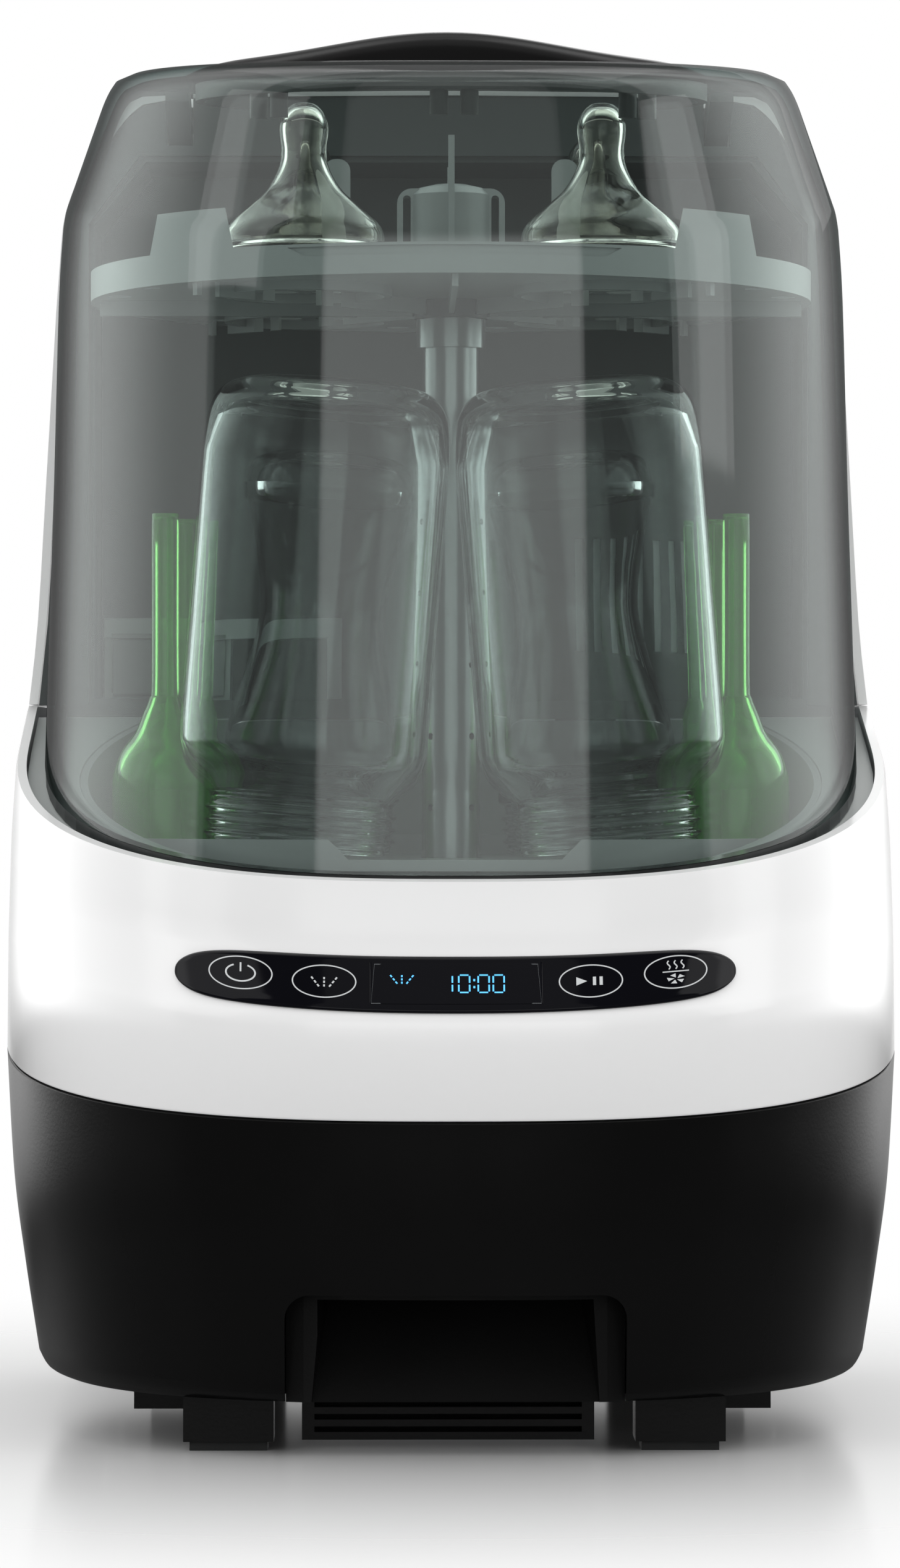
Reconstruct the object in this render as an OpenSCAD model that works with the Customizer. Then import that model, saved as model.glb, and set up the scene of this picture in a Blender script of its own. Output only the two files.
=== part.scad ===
// Countertop bottle washer, steriliser and dryer with its usual load of bottles.
// Millimetres, +Z up, front towards -Y, origin on the table under the middle of the casing.

/* [Casing] */
// Width of the casing at its widest, where the base meets the white band
casing_w = 300; // [298:1:304]
// Depth of the casing
casing_d = 350; // [348:1:354]
// Wall thickness of the moulded casing parts
wall = 3; // [2.6:0.1:3.2]
// Height of the underside of the base above the table
base_clear = 18; // [17:0.5:19]
// Steps round the front half of the casing outline
front_steps = 36; // [24:2:40]
// Steps round the rear half of the casing outline
rear_steps = 24; // [16:2:28]

/* [Hood] */
// Wall thickness of the clear hood
hood_wall = 3.2; // [2.6:0.1:3.6]
// Height of the hood hinge axis
hinge_z = 441; // [440:0.5:442]
// Distance of the hood hinge axis behind the middle of the casing
hinge_y = 62; // [61:0.5:63]
// Diameter of the hinge pins
hinge_pin_d = 5; // [4:0.5:6]

/* [Chamber] */
// Distance of the spray tower's axis in front of the middle of the casing
tower_front = 26; // [25:0.5:27]
// Inner radius of the round wash tub
tub_r = 122.5; // [122:0.5:123]
// Outer diameter of the spray tower
tower_d = 19.7; // [18:0.1:20.4]
// Height of the lower rack's floor
lower_rack_z = 189; // [188:0.5:190]
// Height of the upper rack's floor
upper_rack_z = 380; // [378:0.5:381]
// Radius of the upper rack
upper_rack_r = 121.5; // [119:0.5:122]

/* [Load] */
// Diameter of the wide bottles in front
bottle_d = 82; // [78:1:83]
// Diameter of the waisted bottles at the back
rear_bottle_d = 68; // [64:1:70]
// Lean of the bottles towards the tower, in degrees
bottle_lean = 4.5; // [3:0.5:5]

/* [Tanks] */
// Height of the water tanks with their lids
tank_h = 178; // [170:1:179]
// Wall thickness of the water tanks
tank_wall = 2.5; // [2:0.1:3]

/* [Hidden] */
$fn = 64;
gap = 0.3;

// Outline: the front half curves round y = 0, the rear half round the plane where the hood ends.
half_w = casing_w / 2;
front_len = casing_d / 2;
split_y = 45;
rear_len = casing_d / 2 - split_y;
front_power = 2.65;
rear_power = 4;
tower_y = -tower_front;

// The hood and band meet on a plane that rises towards the back as far as split_y.
lip_z = 228.4;
lip_slope = 0.29;
rear_lip_z = lip_z + lip_slope * split_y;
seam_z = 130;
seam_slope = 0.128;

function signed_pow(v, e) = sign(v) * pow(abs(v), e);
function mix(a, b, t) = a + (b - a) * t;
function tilt_z(z, slope, y) = z + slope * min(y, split_y);

// Points of the front half, from +X round the front to -X, and of the rear half back to +X.
function front_arc(a, b) = [for (i = [0:front_steps]) let (t = -180 * i / front_steps)
    [a * signed_pow(cos(t), 2 / front_power), -b * pow(abs(sin(t)), 2 / front_power)]];
function rear_arc(a, b) = [for (i = [0:rear_steps]) let (t = 180 - 180 * i / rear_steps)
    [a * signed_pow(cos(t), 2 / rear_power), split_y + b * pow(abs(sin(t)), 2 / rear_power)]];

// A whole outline, its insets measured from the widest outline of the casing.
function outline(side, front, rear) =
    concat(front_arc(half_w - side, front_len - front), rear_arc(half_w - side, rear_len - rear));

// One ring of a casing row: [side inset, front inset, rear inset, height at y = 0, slope].
function ring(row, inset = 0) = [for (p = outline(row[0] + inset, row[1] + inset, row[2] + inset))
    [p[0], p[1], tilt_z(row[3], row[4], p[1])]];
function rings(rows, inset = 0) = [for (row = rows) ring(row, inset)];
function reversed(list) = [for (i = [len(list) - 1:-1:0]) list[i]];
function flat(lists) = [for (list = lists) each list];

// Closed tube of casing wall: rings run up the outside and down the inside.
module wall_loop(outer, inner) {
    loops = concat(outer, reversed(inner));
    n = len(loops[0]);
    m = len(loops);
    polyhedron(points = flat(loops), faces = [for (j = [0:m - 1], i = [0:n - 1])
        let (k = (i + 1) % n, l = (j + 1) % m) [j * n + i, j * n + k, l * n + k, l * n + i]]);
}

// Casing wall open at the bottom and along one upright side, closed over the top.
module open_shell(outer, inner) {
    n = len(outer[0]);
    m = len(outer);
    w = 2 * n;
    points = flat([for (j = [0:m - 1]) concat(outer[j], reversed(inner[j]))]);
    sides = [for (j = [0:m - 2], i = [0:w - 1]) let (k = (i + 1) % w)
        [j * w + i, j * w + k, (j + 1) * w + k, (j + 1) * w + i]];
    rim = [for (i = [0:n - 2]) [i + 1, i, w - 1 - i, w - 2 - i]];
    top = (m - 1) * w;
    crown = [
        [for (i = [0:n - 1]) top + i],
        [for (i = [n:w - 1]) top + i],
        [top, top + n - 1, top + n, top + w - 1]
    ];
    polyhedron(points = points, faces = concat(sides, rim, crown));
}

module tube(outer_r, inner_r, h) {
    difference() {
        cylinder(r = outer_r, h = h);
        translate([0, 0, -1]) cylinder(r = inner_r, h = h + 2);
    }
}

module mirrored_x() {
    children();
    mirror([1, 0, 0]) children();
}

// Everything above the sloping plane of the hood's lower edge, moved down by drop.
module above_lip(drop) {
    translate([0, split_y, rear_lip_z - drop]) rotate([atan(lip_slope), 0, 0])
        translate([-200, -400, 0]) cube([400, 500, 400]);
    translate([-200, split_y, rear_lip_z - drop]) cube([400, 300, 300]);
}

// ---- Base ----

base_rows = [
    [17, 22, 20, base_clear, 0],
    [13, 18, 16, base_clear + 2, 0],
    [10.5, 15, 13, base_clear + 6.5, 0],
    [6, 8, 7, 55, 0.02],
    [2.3, 3.2, 3, 86, 0.06],
    [0, 0.6, 0, seam_z - 0.4, seam_slope]
];
grip_half_w = 54;
grip_top_z = 53;
filter_door = [-71.5, 38.5, 103, 53];
filter_door_y = 160.5;
inlet_x = 60;
inlet_z = 36;
inlet_size = [32, 24];

module grip_opening(half, top, y0, y1) {
    corner = 8;
    translate([0, y1, 0]) rotate([90, 0, 0]) linear_extrude(height = y1 - y0) {
        translate([-half, base_clear - 5]) square([2 * half, top - corner - base_clear + 5]);
        translate([-half + corner, base_clear]) square([2 * (half - corner), top - base_clear]);
        for (s = [-1, 1]) translate([s * (half - corner), top - corner]) circle(r = corner);
    }
}

module base_shell() {
    color("#161616") resize([0, 0, 0]) difference() {
        wall_loop(rings(base_rows), rings(base_rows, wall));
        grip_opening(grip_half_w, grip_top_z, -200, -110);
        translate([filter_door[0] - 0.5, 120, filter_door[1] - 0.5])
            cube([filter_door[2] + 1, 80, filter_door[3] + 1]);
        translate([inlet_x - 0.3, 120, inlet_z - 0.3])
            cube([inlet_size[0] + 0.6, 80, inlet_size[1] + 0.6]);
    }
}

screw_places = [[-112, -60], [112, -60], [-112, 62], [112, 62], [-50, 140], [50, 140]];

module base_plate() {
    color("#1d1d1d") difference() {
        translate([0, 0, base_clear]) linear_extrude(height = 4)
            polygon(outline(20.5, 25.5, 23.5));
        translate([-grip_half_w - 1, -200, 0]) cube([2 * grip_half_w + 2, 76, 60]);
        for (p = screw_places) translate([p[0], p[1], 0]) cylinder(d = 4.4, h = 60);
        for (i = [0:8]) translate([-40 + 10 * i, 20, 0]) cube([4, 60, 60]);
    }
}

// The grip's slanted back panel runs from deep under its roof to near the front at its foot.
module grip_void() {
    roof_z = grip_top_z - 2.4;
    foot_z = base_clear - 3;
    points = [
        [-51.5, -200, foot_z], [51.5, -200, foot_z], [46, -152, foot_z], [-46, -152, foot_z],
        [-51.5, -200, roof_z], [51.5, -200, roof_z], [40, -128, roof_z], [-40, -128, roof_z]
    ];
    polyhedron(points = points, faces = [
        [0, 1, 2, 3], [7, 6, 5, 4], [4, 5, 1, 0], [5, 6, 2], [5, 2, 1], [6, 7, 3, 2],
        [7, 4, 0], [7, 0, 3]]);
}

module grip_insert() {
    color("#0f0f0f") difference() {
        intersection() {
            grip_opening(grip_half_w - gap, grip_top_z - gap, -180, -124.5);
            translate([0, 0, base_clear]) linear_extrude(height = 60)
                polygon(outline(16.5, 20.5, 20));
        }
        grip_void();
    }
}

foot_places = [[72.5, -118], [72.5, 112]];

module foot_blocks() {
    color("#121212") mirrored_x() {
        for (p = foot_places) translate([p[0] - 14.5, p[1] - 10, 3])
            cube([29, 20, base_clear - 3 - 0.1]);
        translate([88, -74, 8]) cube([17, 16, base_clear - 8.1]);
        translate([88, 66, 8]) cube([17, 16, base_clear - 8.1]);
    }
}

module rubber_feet() {
    color("#0a0a0a") mirrored_x() for (p = foot_places)
        translate([p[0] - 12.5, p[1] - 8, 0]) cube([25, 16, 2.9]);
}

module underside_cover() {
    color("#101010") difference() {
        translate([-49, -122, 3]) cube([94, 40, base_clear - 3.1]);
        for (i = [0:2]) translate([-45, -130, 5.5 + 4 * i]) cube([86, 30, 1.8]);
    }
}

module base_screws() {
    color("silver") for (p = screw_places) translate([p[0], p[1], base_clear - 2.4]) {
        cylinder(d1 = 6, d2 = 7.6, h = 2.3);
        cylinder(d = 3.9, h = 22);
    }
}

// ---- White band with its sloping control face ----

// The control face lies between the low crease and the high crease.
low_crease = [0.4, 0, 0.5, 171, 0.18];
high_crease = [1.2, 14, 1.2, 204.9, 0.26];
band_rows = [
    [0, 0.6, 0, seam_z + 0.4, seam_slope],
    low_crease,
    high_crease,
    [2.6, 17.3, 2, lip_z - 2, lip_slope],
    [3.2, 17.9, 2.6, lip_z, lip_slope]
];

module middle_band() {
    color("white") wall_loop(rings(band_rows), rings(band_rows, wall));
}

// A point of a casing row at a given x on its front half.
function row_point(row, x) = let (a = half_w - row[0], b = front_len - row[1],
    y = -b * pow(1 - pow(abs(x) / a, front_power), 1 / front_power)) [x, y, row[3] + row[4] * y];

// A point of the control face: x across, u from the low crease to the high one, raised by lift.
face_normal = [0, -0.859, 0.512];
function face_point(x, u, lift) =
    mix(row_point(low_crease, x), row_point(high_crease, x), u) + lift * face_normal;

panel_half_w = 88.5;
panel_columns = 40;

// A plate that follows the control face, its outline given by column positions k from -1 to 1.
module face_plate(half, low, high, ends, bottom, top) {
    rows = 4;
    function level(k, j) = mix(mix(low[0] + low[1] * k * k, high[0] + high[1] * k * k, 0.62),
            mix(low[0] + low[1] * k * k, high[0] + high[1] * k * k, j / rows),
            ends > 0 ? max(0.12, pow(1 - pow(abs(k), 9), ends)) : 1);
    columns = [for (i = [0:panel_columns]) -cos(180 * i / panel_columns)];
    sheet = function (lift) [for (k = columns, j = [0:rows]) face_point(k * half, level(k, j), lift)];
    n = rows + 1;
    m = len(columns);
    count = n * m;
    outer_faces = [for (i = [0:m - 2], j = [0:rows - 1])
        [i * n + j, (i + 1) * n + j, (i + 1) * n + j + 1, i * n + j + 1]];
    inner_faces = [for (f = outer_faces) [count + f[3], count + f[2], count + f[1], count + f[0]]];
    edge = concat([for (i = [0:m - 1]) i * n], [for (j = [1:rows]) (m - 1) * n + j],
        [for (i = [m - 2:-1:0]) i * n + rows], [for (j = [rows - 1:-1:1]) j]);
    walls = [for (i = [0:len(edge) - 1]) let (k = (i + 1) % len(edge))
        [edge[k], edge[i], count + edge[i], count + edge[k]]];
    polyhedron(points = concat(sheet(top), sheet(bottom)),
        faces = [for (f = concat(outer_faces, inner_faces, walls)) reversed(f)]);
}

module control_panel() {
    color("#101014") face_plate(panel_half_w, [0.1, 0.11], [0.83, 0.02], 0.42, 0.2, 1.2);
}

module display_window() {
    color("#050508") face_plate(27, [0.2, 0], [0.74, 0], 0, 1.3, 1.7);
}

// Boards behind the control face stand parallel to it.
module behind_face(depth) {
    middle = face_point(0, 0.5, -depth);
    translate(middle) rotate([-30.8, 0, 0]) children();
}

module display_module() {
    color("#202428") behind_face(4.6) translate([-24, 0, -7]) cube([48, 2.6, 14]);
}

module control_board() {
    color("#0d5a34") behind_face(4.6) translate([-42, 3, -8]) cube([84, 1.6, 14]);
}

// ---- Rear housing, bezel and chamber ----

// Rear rows: [side inset, rear inset, height, inner drop as a share of the wall].
housing_rows = [
    [3.2, 2.6, rear_lip_z + 0.4, 0],
    [6.3, 3.2, 271, 0],
    [9.2, 4, 320, 0],
    [12.8, 4.6, 381, 0],
    [15.3, 5.2, 414, 0.2],
    [23, 12, 432, 0.6],
    [34, 24, 450, 0.9],
    [40, 31, 454.8, 1],
    [52, 42, 457, 1],
    [92, 76, 457.8, 1],
    [138, 112, 458.2, 1]
];

function housing_ring(row, inset) = [for (p = rear_arc(half_w - row[0] - inset, rear_len - row[1] - inset))
    [p[0], p[1], row[2] - (inset > 0 ? row[3] * wall : 0)]];

tank_z = rear_lip_z + 4.6;
tank_top_z = tank_z + tank_h;
arm_x = 94;
arm_w = 8;

module rear_housing() {
    color("white") resize([0, 0, 0]) difference() {
        open_shell([for (row = housing_rows) housing_ring(row, 0)],
            [for (row = housing_rows) housing_ring(row, wall)]);
        translate([-160, 107, 200]) cube([320, 100, tank_top_z + 3 - 200]);
        for (s = [-1, 1]) translate([s * arm_x - arm_w / 2 - 0.6, split_y - 1, 430])
            cube([arm_w + 1.2, hinge_y - split_y + 11, 40]);
    }
}

// Front view of the chamber recess: a room with chamfered upper corners.
liner_half_w = 126;
liner_top = 434;
liner_wall = 2;
liner_back_y = 101.5;
module room_outline(grow, floor_z) {
    polygon([[-liner_half_w - grow, floor_z], [liner_half_w + grow, floor_z],
        [liner_half_w + grow, 410], [108 + grow, liner_top + grow],
        [-108 - grow, liner_top + grow], [-liner_half_w - grow, 410]]);
}
module room(grow, floor_z, y0, y1) {
    translate([0, y1, 0]) rotate([90, 0, 0]) linear_extrude(height = y1 - y0)
        room_outline(grow, floor_z);
}

bezel_y = 45.2;
bezel_t = 2.6;
module housing_bezel() {
    outer = [for (row = [for (i = [0:9]) housing_rows[i]])
        [half_w - row[0] - wall - 0.5, row[2] - row[3] * wall - 0.3]];
    color("#3a3f40") difference() {
        translate([0, bezel_y + bezel_t, 0]) rotate([90, 0, 0]) linear_extrude(height = bezel_t)
            polygon(concat(outer, [for (p = reversed(outer)) [-p[0], p[1]]]));
        room(0, 200, 40, 60);
        for (s = [-1, 1]) translate([s * arm_x - arm_w / 2 - 0.6, 40, 437.5])
            cube([arm_w + 1.2, 20, 40]);
    }
}

// The room has a skirt that reaches down to the deck and the tub's rim.
module chamber_liner() {
    front = bezel_y + bezel_t + 0.2;
    floor_z = rear_lip_z + 0.6;
    skirt_z = rear_lip_z - 3.9;
    skirt_h = floor_z + 1 - skirt_z;
    color("#3b4142") difference() {
        union() {
            difference() {
                room(0, floor_z, front, liner_back_y + liner_wall);
                room(-liner_wall, floor_z + liner_wall, front - 1, liner_back_y);
            }
            translate([-138, front, skirt_z]) cube([276, liner_wall, skirt_h]);
            intersection() {
                translate([0, tower_y, skirt_z]) cylinder(r = tub_r + tub_wall, h = skirt_h);
                translate([-liner_half_w, front, 0]) cube([2 * liner_half_w, 200, 400]);
            }
        }
        translate([0, tower_y, 0]) cylinder(r = tub_r, h = 260);
        for (i = [0:6]) translate([46 + 8 * i, 90, 262]) cube([3.4, 30, 40]);
    }
}

tub_wall = 2.5;
module chamber_deck() {
    color("#c9cdcd") difference() {
        translate([0, 0, 150]) linear_extrude(height = 120) polygon(outline(6.6, 21.3, 6));
        above_lip(4);
        translate([0, 0, -2.5]) difference() {
            translate([-200, -250, 0]) cube([400, 500, 300]);
            above_lip(4);
        }
        translate([0, tower_y, 0]) cylinder(r = tub_r + tub_wall + gap, h = 400);
        translate([-200, split_y - 0.4, 0]) cube([400, 300, 400]);
    }
}

// The tub is round with a sump in its floor, cut off along the sloping plane.
sump_r = 31.5;
sump_z = 121;
tub_floor_z = 150;
module chamber_tub() {
    outer_r = tub_r + tub_wall;
    color("#b9bfbf") difference() {
        translate([0, tower_y, 0]) rotate_extrude($fn = 96) polygon([
            [0, sump_z], [sump_r + tub_wall, sump_z], [sump_r + tub_wall, tub_floor_z - 4],
            [tub_r - 4.5, tub_floor_z], [outer_r, tub_floor_z + 8], [outer_r, 260], [tub_r, 260],
            [tub_r, tub_floor_z + 9], [tub_r - 5.5, tub_floor_z + 2.5],
            [sump_r, tub_floor_z - 1], [sump_r, sump_z + tub_wall], [0, sump_z + tub_wall]]);
        above_lip(4.4);
    }
}

// Seal under the hood's lower edge, on the deck and in front of the bezel.
module hood_gasket() {
    color("#15191a") difference() {
        translate([0, 0, 150]) linear_extrude(height = 120) polygon(outline(12.6, 22.3, 6));
        translate([0, 0, 140]) linear_extrude(height = 140) polygon(outline(16.4, 25.8, 6));
        above_lip(-0.4);
        translate([0, 0, -4.1]) difference() {
            translate([-200, -250, 0]) cube([400, 500, 300]);
            above_lip(-0.4);
        }
        translate([-200, split_y - 3.2, 0]) cube([400, 300, 400]);
    }
}

// ---- Hood ----

// Hood rows: [side inset, front inset, height at y = 0, slope, side share and top share of the wall].
hood_end_y = 42;
roof_slope = 0.067;
hood_rows = [
    [12.4, 21.6, lip_z + 0.8, lip_slope, 1, 0],
    [14, 21.6, 275, 0.16, 1, 0],
    [15.5, 21.6, 320, 0.12, 1, 0],
    [17.1, 21.8, 380, 0.12, 1, 0],
    [18.6, 22.6, 405, 0.13, 1, 0],
    [19.4, 23.6, 410.5, 0.13, 1, 0.1],
    [22.2, 28, 418, 0.11, 1, 0.2],
    [33, 41, 448, 0.07, 1, 0.5],
    [36, 45.4, 452.4, roof_slope, 0.9, 0.9],
    [41, 51, 454.6, roof_slope, 0.6, 1],
    [60, 72, 455.6, roof_slope, 0.3, 1],
    [100, 118, 456.4, roof_slope, 0, 1],
    [136, 158, 456.8, roof_slope, 0, 1]
];

// Hood outline from its rear edge at +X round the front to its rear edge at -X.
function hood_outline(a, b) =
    concat([[a, hood_end_y]], front_arc(a, b), [[-a, hood_end_y]]);
function hood_ring(row, t) =
    [for (p = hood_outline(half_w - row[0] - t * row[4], front_len - row[1] - t * row[4]))
        [p[0], p[1], tilt_z(row[2], row[3], p[1]) - t * row[5]]];

module hood_shell() {
    color([0.45, 0.52, 0.5, 0.45]) open_shell([for (row = hood_rows) hood_ring(row, 0)],
        [for (row = hood_rows) hood_ring(row, hood_wall)]);
}

// Side view of a hinge arm, from under the hood's ceiling back to the pin.
module hood_arms() {
    color("#2a2d2e") for (s = [-1, 1]) difference() {
        translate([s * arm_x + arm_w / 2, 0, 0]) rotate([90, 0, -90]) linear_extrude(height = arm_w)
            polygon([[-14, 452.6], [-14, 449.4], [-hinge_y + 1, hinge_z - 5.4], [-hinge_y, hinge_z - 5.4],
                [-hinge_y, hinge_z + 5.4], [-hinge_y + 4, hinge_z + 5.4], [-42, 453], [-38, 454.2]]);
        translate([s * arm_x - 10, hinge_y, hinge_z]) rotate([0, 90, 0])
            cylinder(d = hinge_pin_d + 0.1, h = 20);
    }
    color("#2a2d2e") for (s = [-1, 1]) translate([s * arm_x - arm_w / 2, hinge_y, hinge_z])
        rotate([0, 90, 0]) tube(5.4, hinge_pin_d / 2 + 0.05, arm_w);
}

module hinge_brackets() {
    bracket_t = 2.6;
    color("#8a8f92") for (s = [-1, 1], side = [-1, 1]) difference() {
        translate([s * arm_x + side * (arm_w / 2 + 0.4 + bracket_t / 2) - bracket_t / 2,
            hinge_y - 7, liner_top + 0.5]) cube([bracket_t, 16, 12]);
        translate([s * arm_x - 12, hinge_y, hinge_z]) rotate([0, 90, 0])
            cylinder(d = hinge_pin_d, h = 24);
    }
}

module hinge_pins() {
    color("silver") for (s = [-1, 1]) translate([s * arm_x - 8, hinge_y, hinge_z])
        rotate([0, 90, 0]) cylinder(d = hinge_pin_d, h = 16);
}

// Open ring under the hood's ceiling, with three pairs of clips that hold small parts.
ring_y = -36;
ring_z = 443.1;
ring_r = 86;
ring_h = 5.6;
module ceiling_ring() {
    color("#aab0b0") translate([0, ring_y, ring_z]) rotate([atan(roof_slope), 0, 0]) difference() {
        union() {
            tube(ring_r, ring_r - 3, ring_h);
            for (a = [223, 270, 317], d = [-3.4, 3.4]) rotate([0, 0, a + d])
                translate([ring_r - 3.5, 0, -8]) cylinder(r = 3, h = 8 + ring_h / 2);
        }
        translate([-ring_r - 5, 50, -20]) cube([2 * ring_r + 10, ring_r, 40]);
    }
}

// Black fairing over the steam outlet behind the hood, with a bell-shaped crest in its middle.
cap_half_w = 104;
cap_half_d = 23;
cap_y = 111;
cap_z = 458.6;
cap_h = 26.4;
crest_half_w = 74;
crest_h = 7.6;
module top_cap() {
    steps = 48;
    levels = [for (k = [0:8]) cos(k * 88 / 8)];
    function crest(x) = crest_h * (0.5 + 0.5 * cos(180 * min(1, abs(x) / crest_half_w)));
    function foot(x) = cap_z - 2.4 * pow(abs(x) / cap_half_w, 8);
    function height(s, x) =
        foot(x) + 1 + (cap_h - 1 - crest_h + crest(x)) * pow(max(0, 1 - pow(s, 5)), 0.5);
    loops = [for (s = levels) [for (i = [0:steps - 1]) let (t = 360 * i / steps,
        x = s * cap_half_w * signed_pow(cos(t), 0.7), y = s * cap_half_d * signed_pow(sin(t), 0.7))
        [x, cap_y + y, height(s, x)]]];
    bottom = [for (s = reversed(levels)) [for (i = [0:steps - 1]) let (t = 360 * i / steps,
        x = s * cap_half_w * signed_pow(cos(t), 0.7), y = s * cap_half_d * signed_pow(sin(t), 0.7))
        [x, cap_y + y, foot(x)]]];
    all_loops = concat(bottom, loops);
    m = len(all_loops);
    color("#1c1b1b") polyhedron(points = flat(all_loops), faces = concat(
        [for (j = [0:m - 2], i = [0:steps - 1]) let (k = (i + 1) % steps)
            [j * steps + k, j * steps + i, (j + 1) * steps + i, (j + 1) * steps + k]],
        [[for (i = [0:steps - 1]) i]],
        [[for (i = [steps - 1:-1:0]) (m - 1) * steps + i]]));
}

// ---- Chamber fittings ----

rack_gap = 2.5;
arm_z = 162;
module sump_filter() {
    color("#9aa0a2") translate([0, tower_y, sump_z + tub_wall + 0.1]) difference() {
        tube(28, 26.6, 32);
        for (a = [0:15:345], z = [6, 16]) rotate([0, 0, a]) translate([24, -1.6, z]) cube([6, 3.2, 7]);
    }
}

module spray_tower() {
    color("#a9afb0") translate([0, tower_y, 0]) difference() {
        union() {
            translate([0, 0, sump_z + tub_wall + 0.1]) cylinder(r = 15, h = 4);
            translate([0, 0, sump_z + tub_wall + 0.1]) cylinder(d = tower_d, h = 260);
            translate([0, 0, arm_z - 4]) cylinder(r = 13.5, h = 3.6);
        }
        translate([0, 0, sump_z]) cylinder(d = tower_d - 4, h = 300);
        for (z = [206:24:302], a = [45:90:315]) translate([0, 0, z]) rotate([0, 90, a])
            cylinder(d = 2.4, h = 12);
    }
}

module tower_collar() {
    color("#a9afb0") translate([0, tower_y, 361]) tube(11.8, tower_d / 2 + 0.05, 9.6);
}

// Rotating arm: a hub that runs on the tower and two flat hollow arms with jets.
module spray_arm() {
    reach = 104;
    color("#8f9596") translate([0, tower_y, arm_z]) difference() {
        union() {
            cylinder(r = 17, h = 15);
            for (a = [20, 200]) rotate([0, 0, a]) {
                translate([0, -11, 3]) cube([reach - 11, 22, 8]);
                translate([reach - 11, 0, 3]) cylinder(r = 11, h = 8);
            }
        }
        translate([0, 0, -1]) cylinder(r = tower_d / 2 + 0.06, h = 20);
        for (a = [20, 200], i = [1:5]) rotate([0, 0, a]) translate([14 + 16 * i, 0, 7])
            cylinder(d = 2.2, h = 6);
    }
}

// Places of the load on the racks: the right-hand one of each pair.
front_mouth = [52, -72];
rear_mouth = [50, 38];
front_tube = [96.5, -26];
rear_tube = [91.5, 16];
front_teat = [49, -80];
rear_teat = [49, 28];

module lower_rack() {
    radius = tub_r - rack_gap;
    seats = [front_mouth, rear_mouth, [-front_mouth[0], front_mouth[1]], [-rear_mouth[0], rear_mouth[1]]];
    pegs = [front_tube, rear_tube, [-front_tube[0], front_tube[1]], [-rear_tube[0], rear_tube[1]]];
    color("#8d9393") difference() {
        union() {
            translate([0, tower_y, lower_rack_z - 3]) cylinder(r = radius, h = 3);
            translate([0, tower_y, lower_rack_z - 3]) tube(radius, radius - 2.6, 10);
            for (p = pegs) translate([p[0], p[1], lower_rack_z - 3]) cylinder(r = 5, h = 26);
        }
        translate([0, tower_y, 0]) cylinder(r = tower_d / 2 + 0.6, h = 300);
        for (p = seats, a = [0:60:300]) translate([p[0], p[1], 0]) rotate([0, 0, a])
            translate([18, 0, 0]) cylinder(r = 6.5, h = 300);
        for (p = seats) translate([p[0], p[1], 0]) cylinder(r = 7, h = 300);
        for (a = [0:18:342]) translate([0, tower_y, lower_rack_z - 10]) rotate([0, 0, a])
            translate([radius - 11, 0, 0]) cylinder(r = 3.4, h = 20);
        translate([0, -120, lower_rack_z + 0.6]) rotate([90, 0, 0]) linear_extrude(height = 60)
            polygon([[-34, 0], [34, 0], [46, 12], [-46, 12]]);
    }
}

// Legs between the tub's floor and the lower rack.
module rack_legs() {
    foot_z = tub_floor_z + 2.7;
    color("#8d9393") translate([0, tower_y, foot_z]) for (a = [45:90:315]) rotate([0, 0, a])
        translate([110, 0, 0]) cylinder(r = 3, h = lower_rack_z - 3 - foot_z);
}

// Front view of an upright slot or tab with round upper corners, standing on y = 0.
function arch(half, h, r) = concat([[-half, 0], [half, 0]],
    [for (a = [0:15:90]) [half - r + r * cos(a), h - r + r * sin(a)]],
    [for (a = [90:15:180]) [r - half + r * cos(a), h - r + r * sin(a)]]);

module upright(half, h, r, depth) {
    rotate([90, 0, 0]) linear_extrude(height = depth, center = true) polygon(arch(half, h, r));
}

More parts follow.
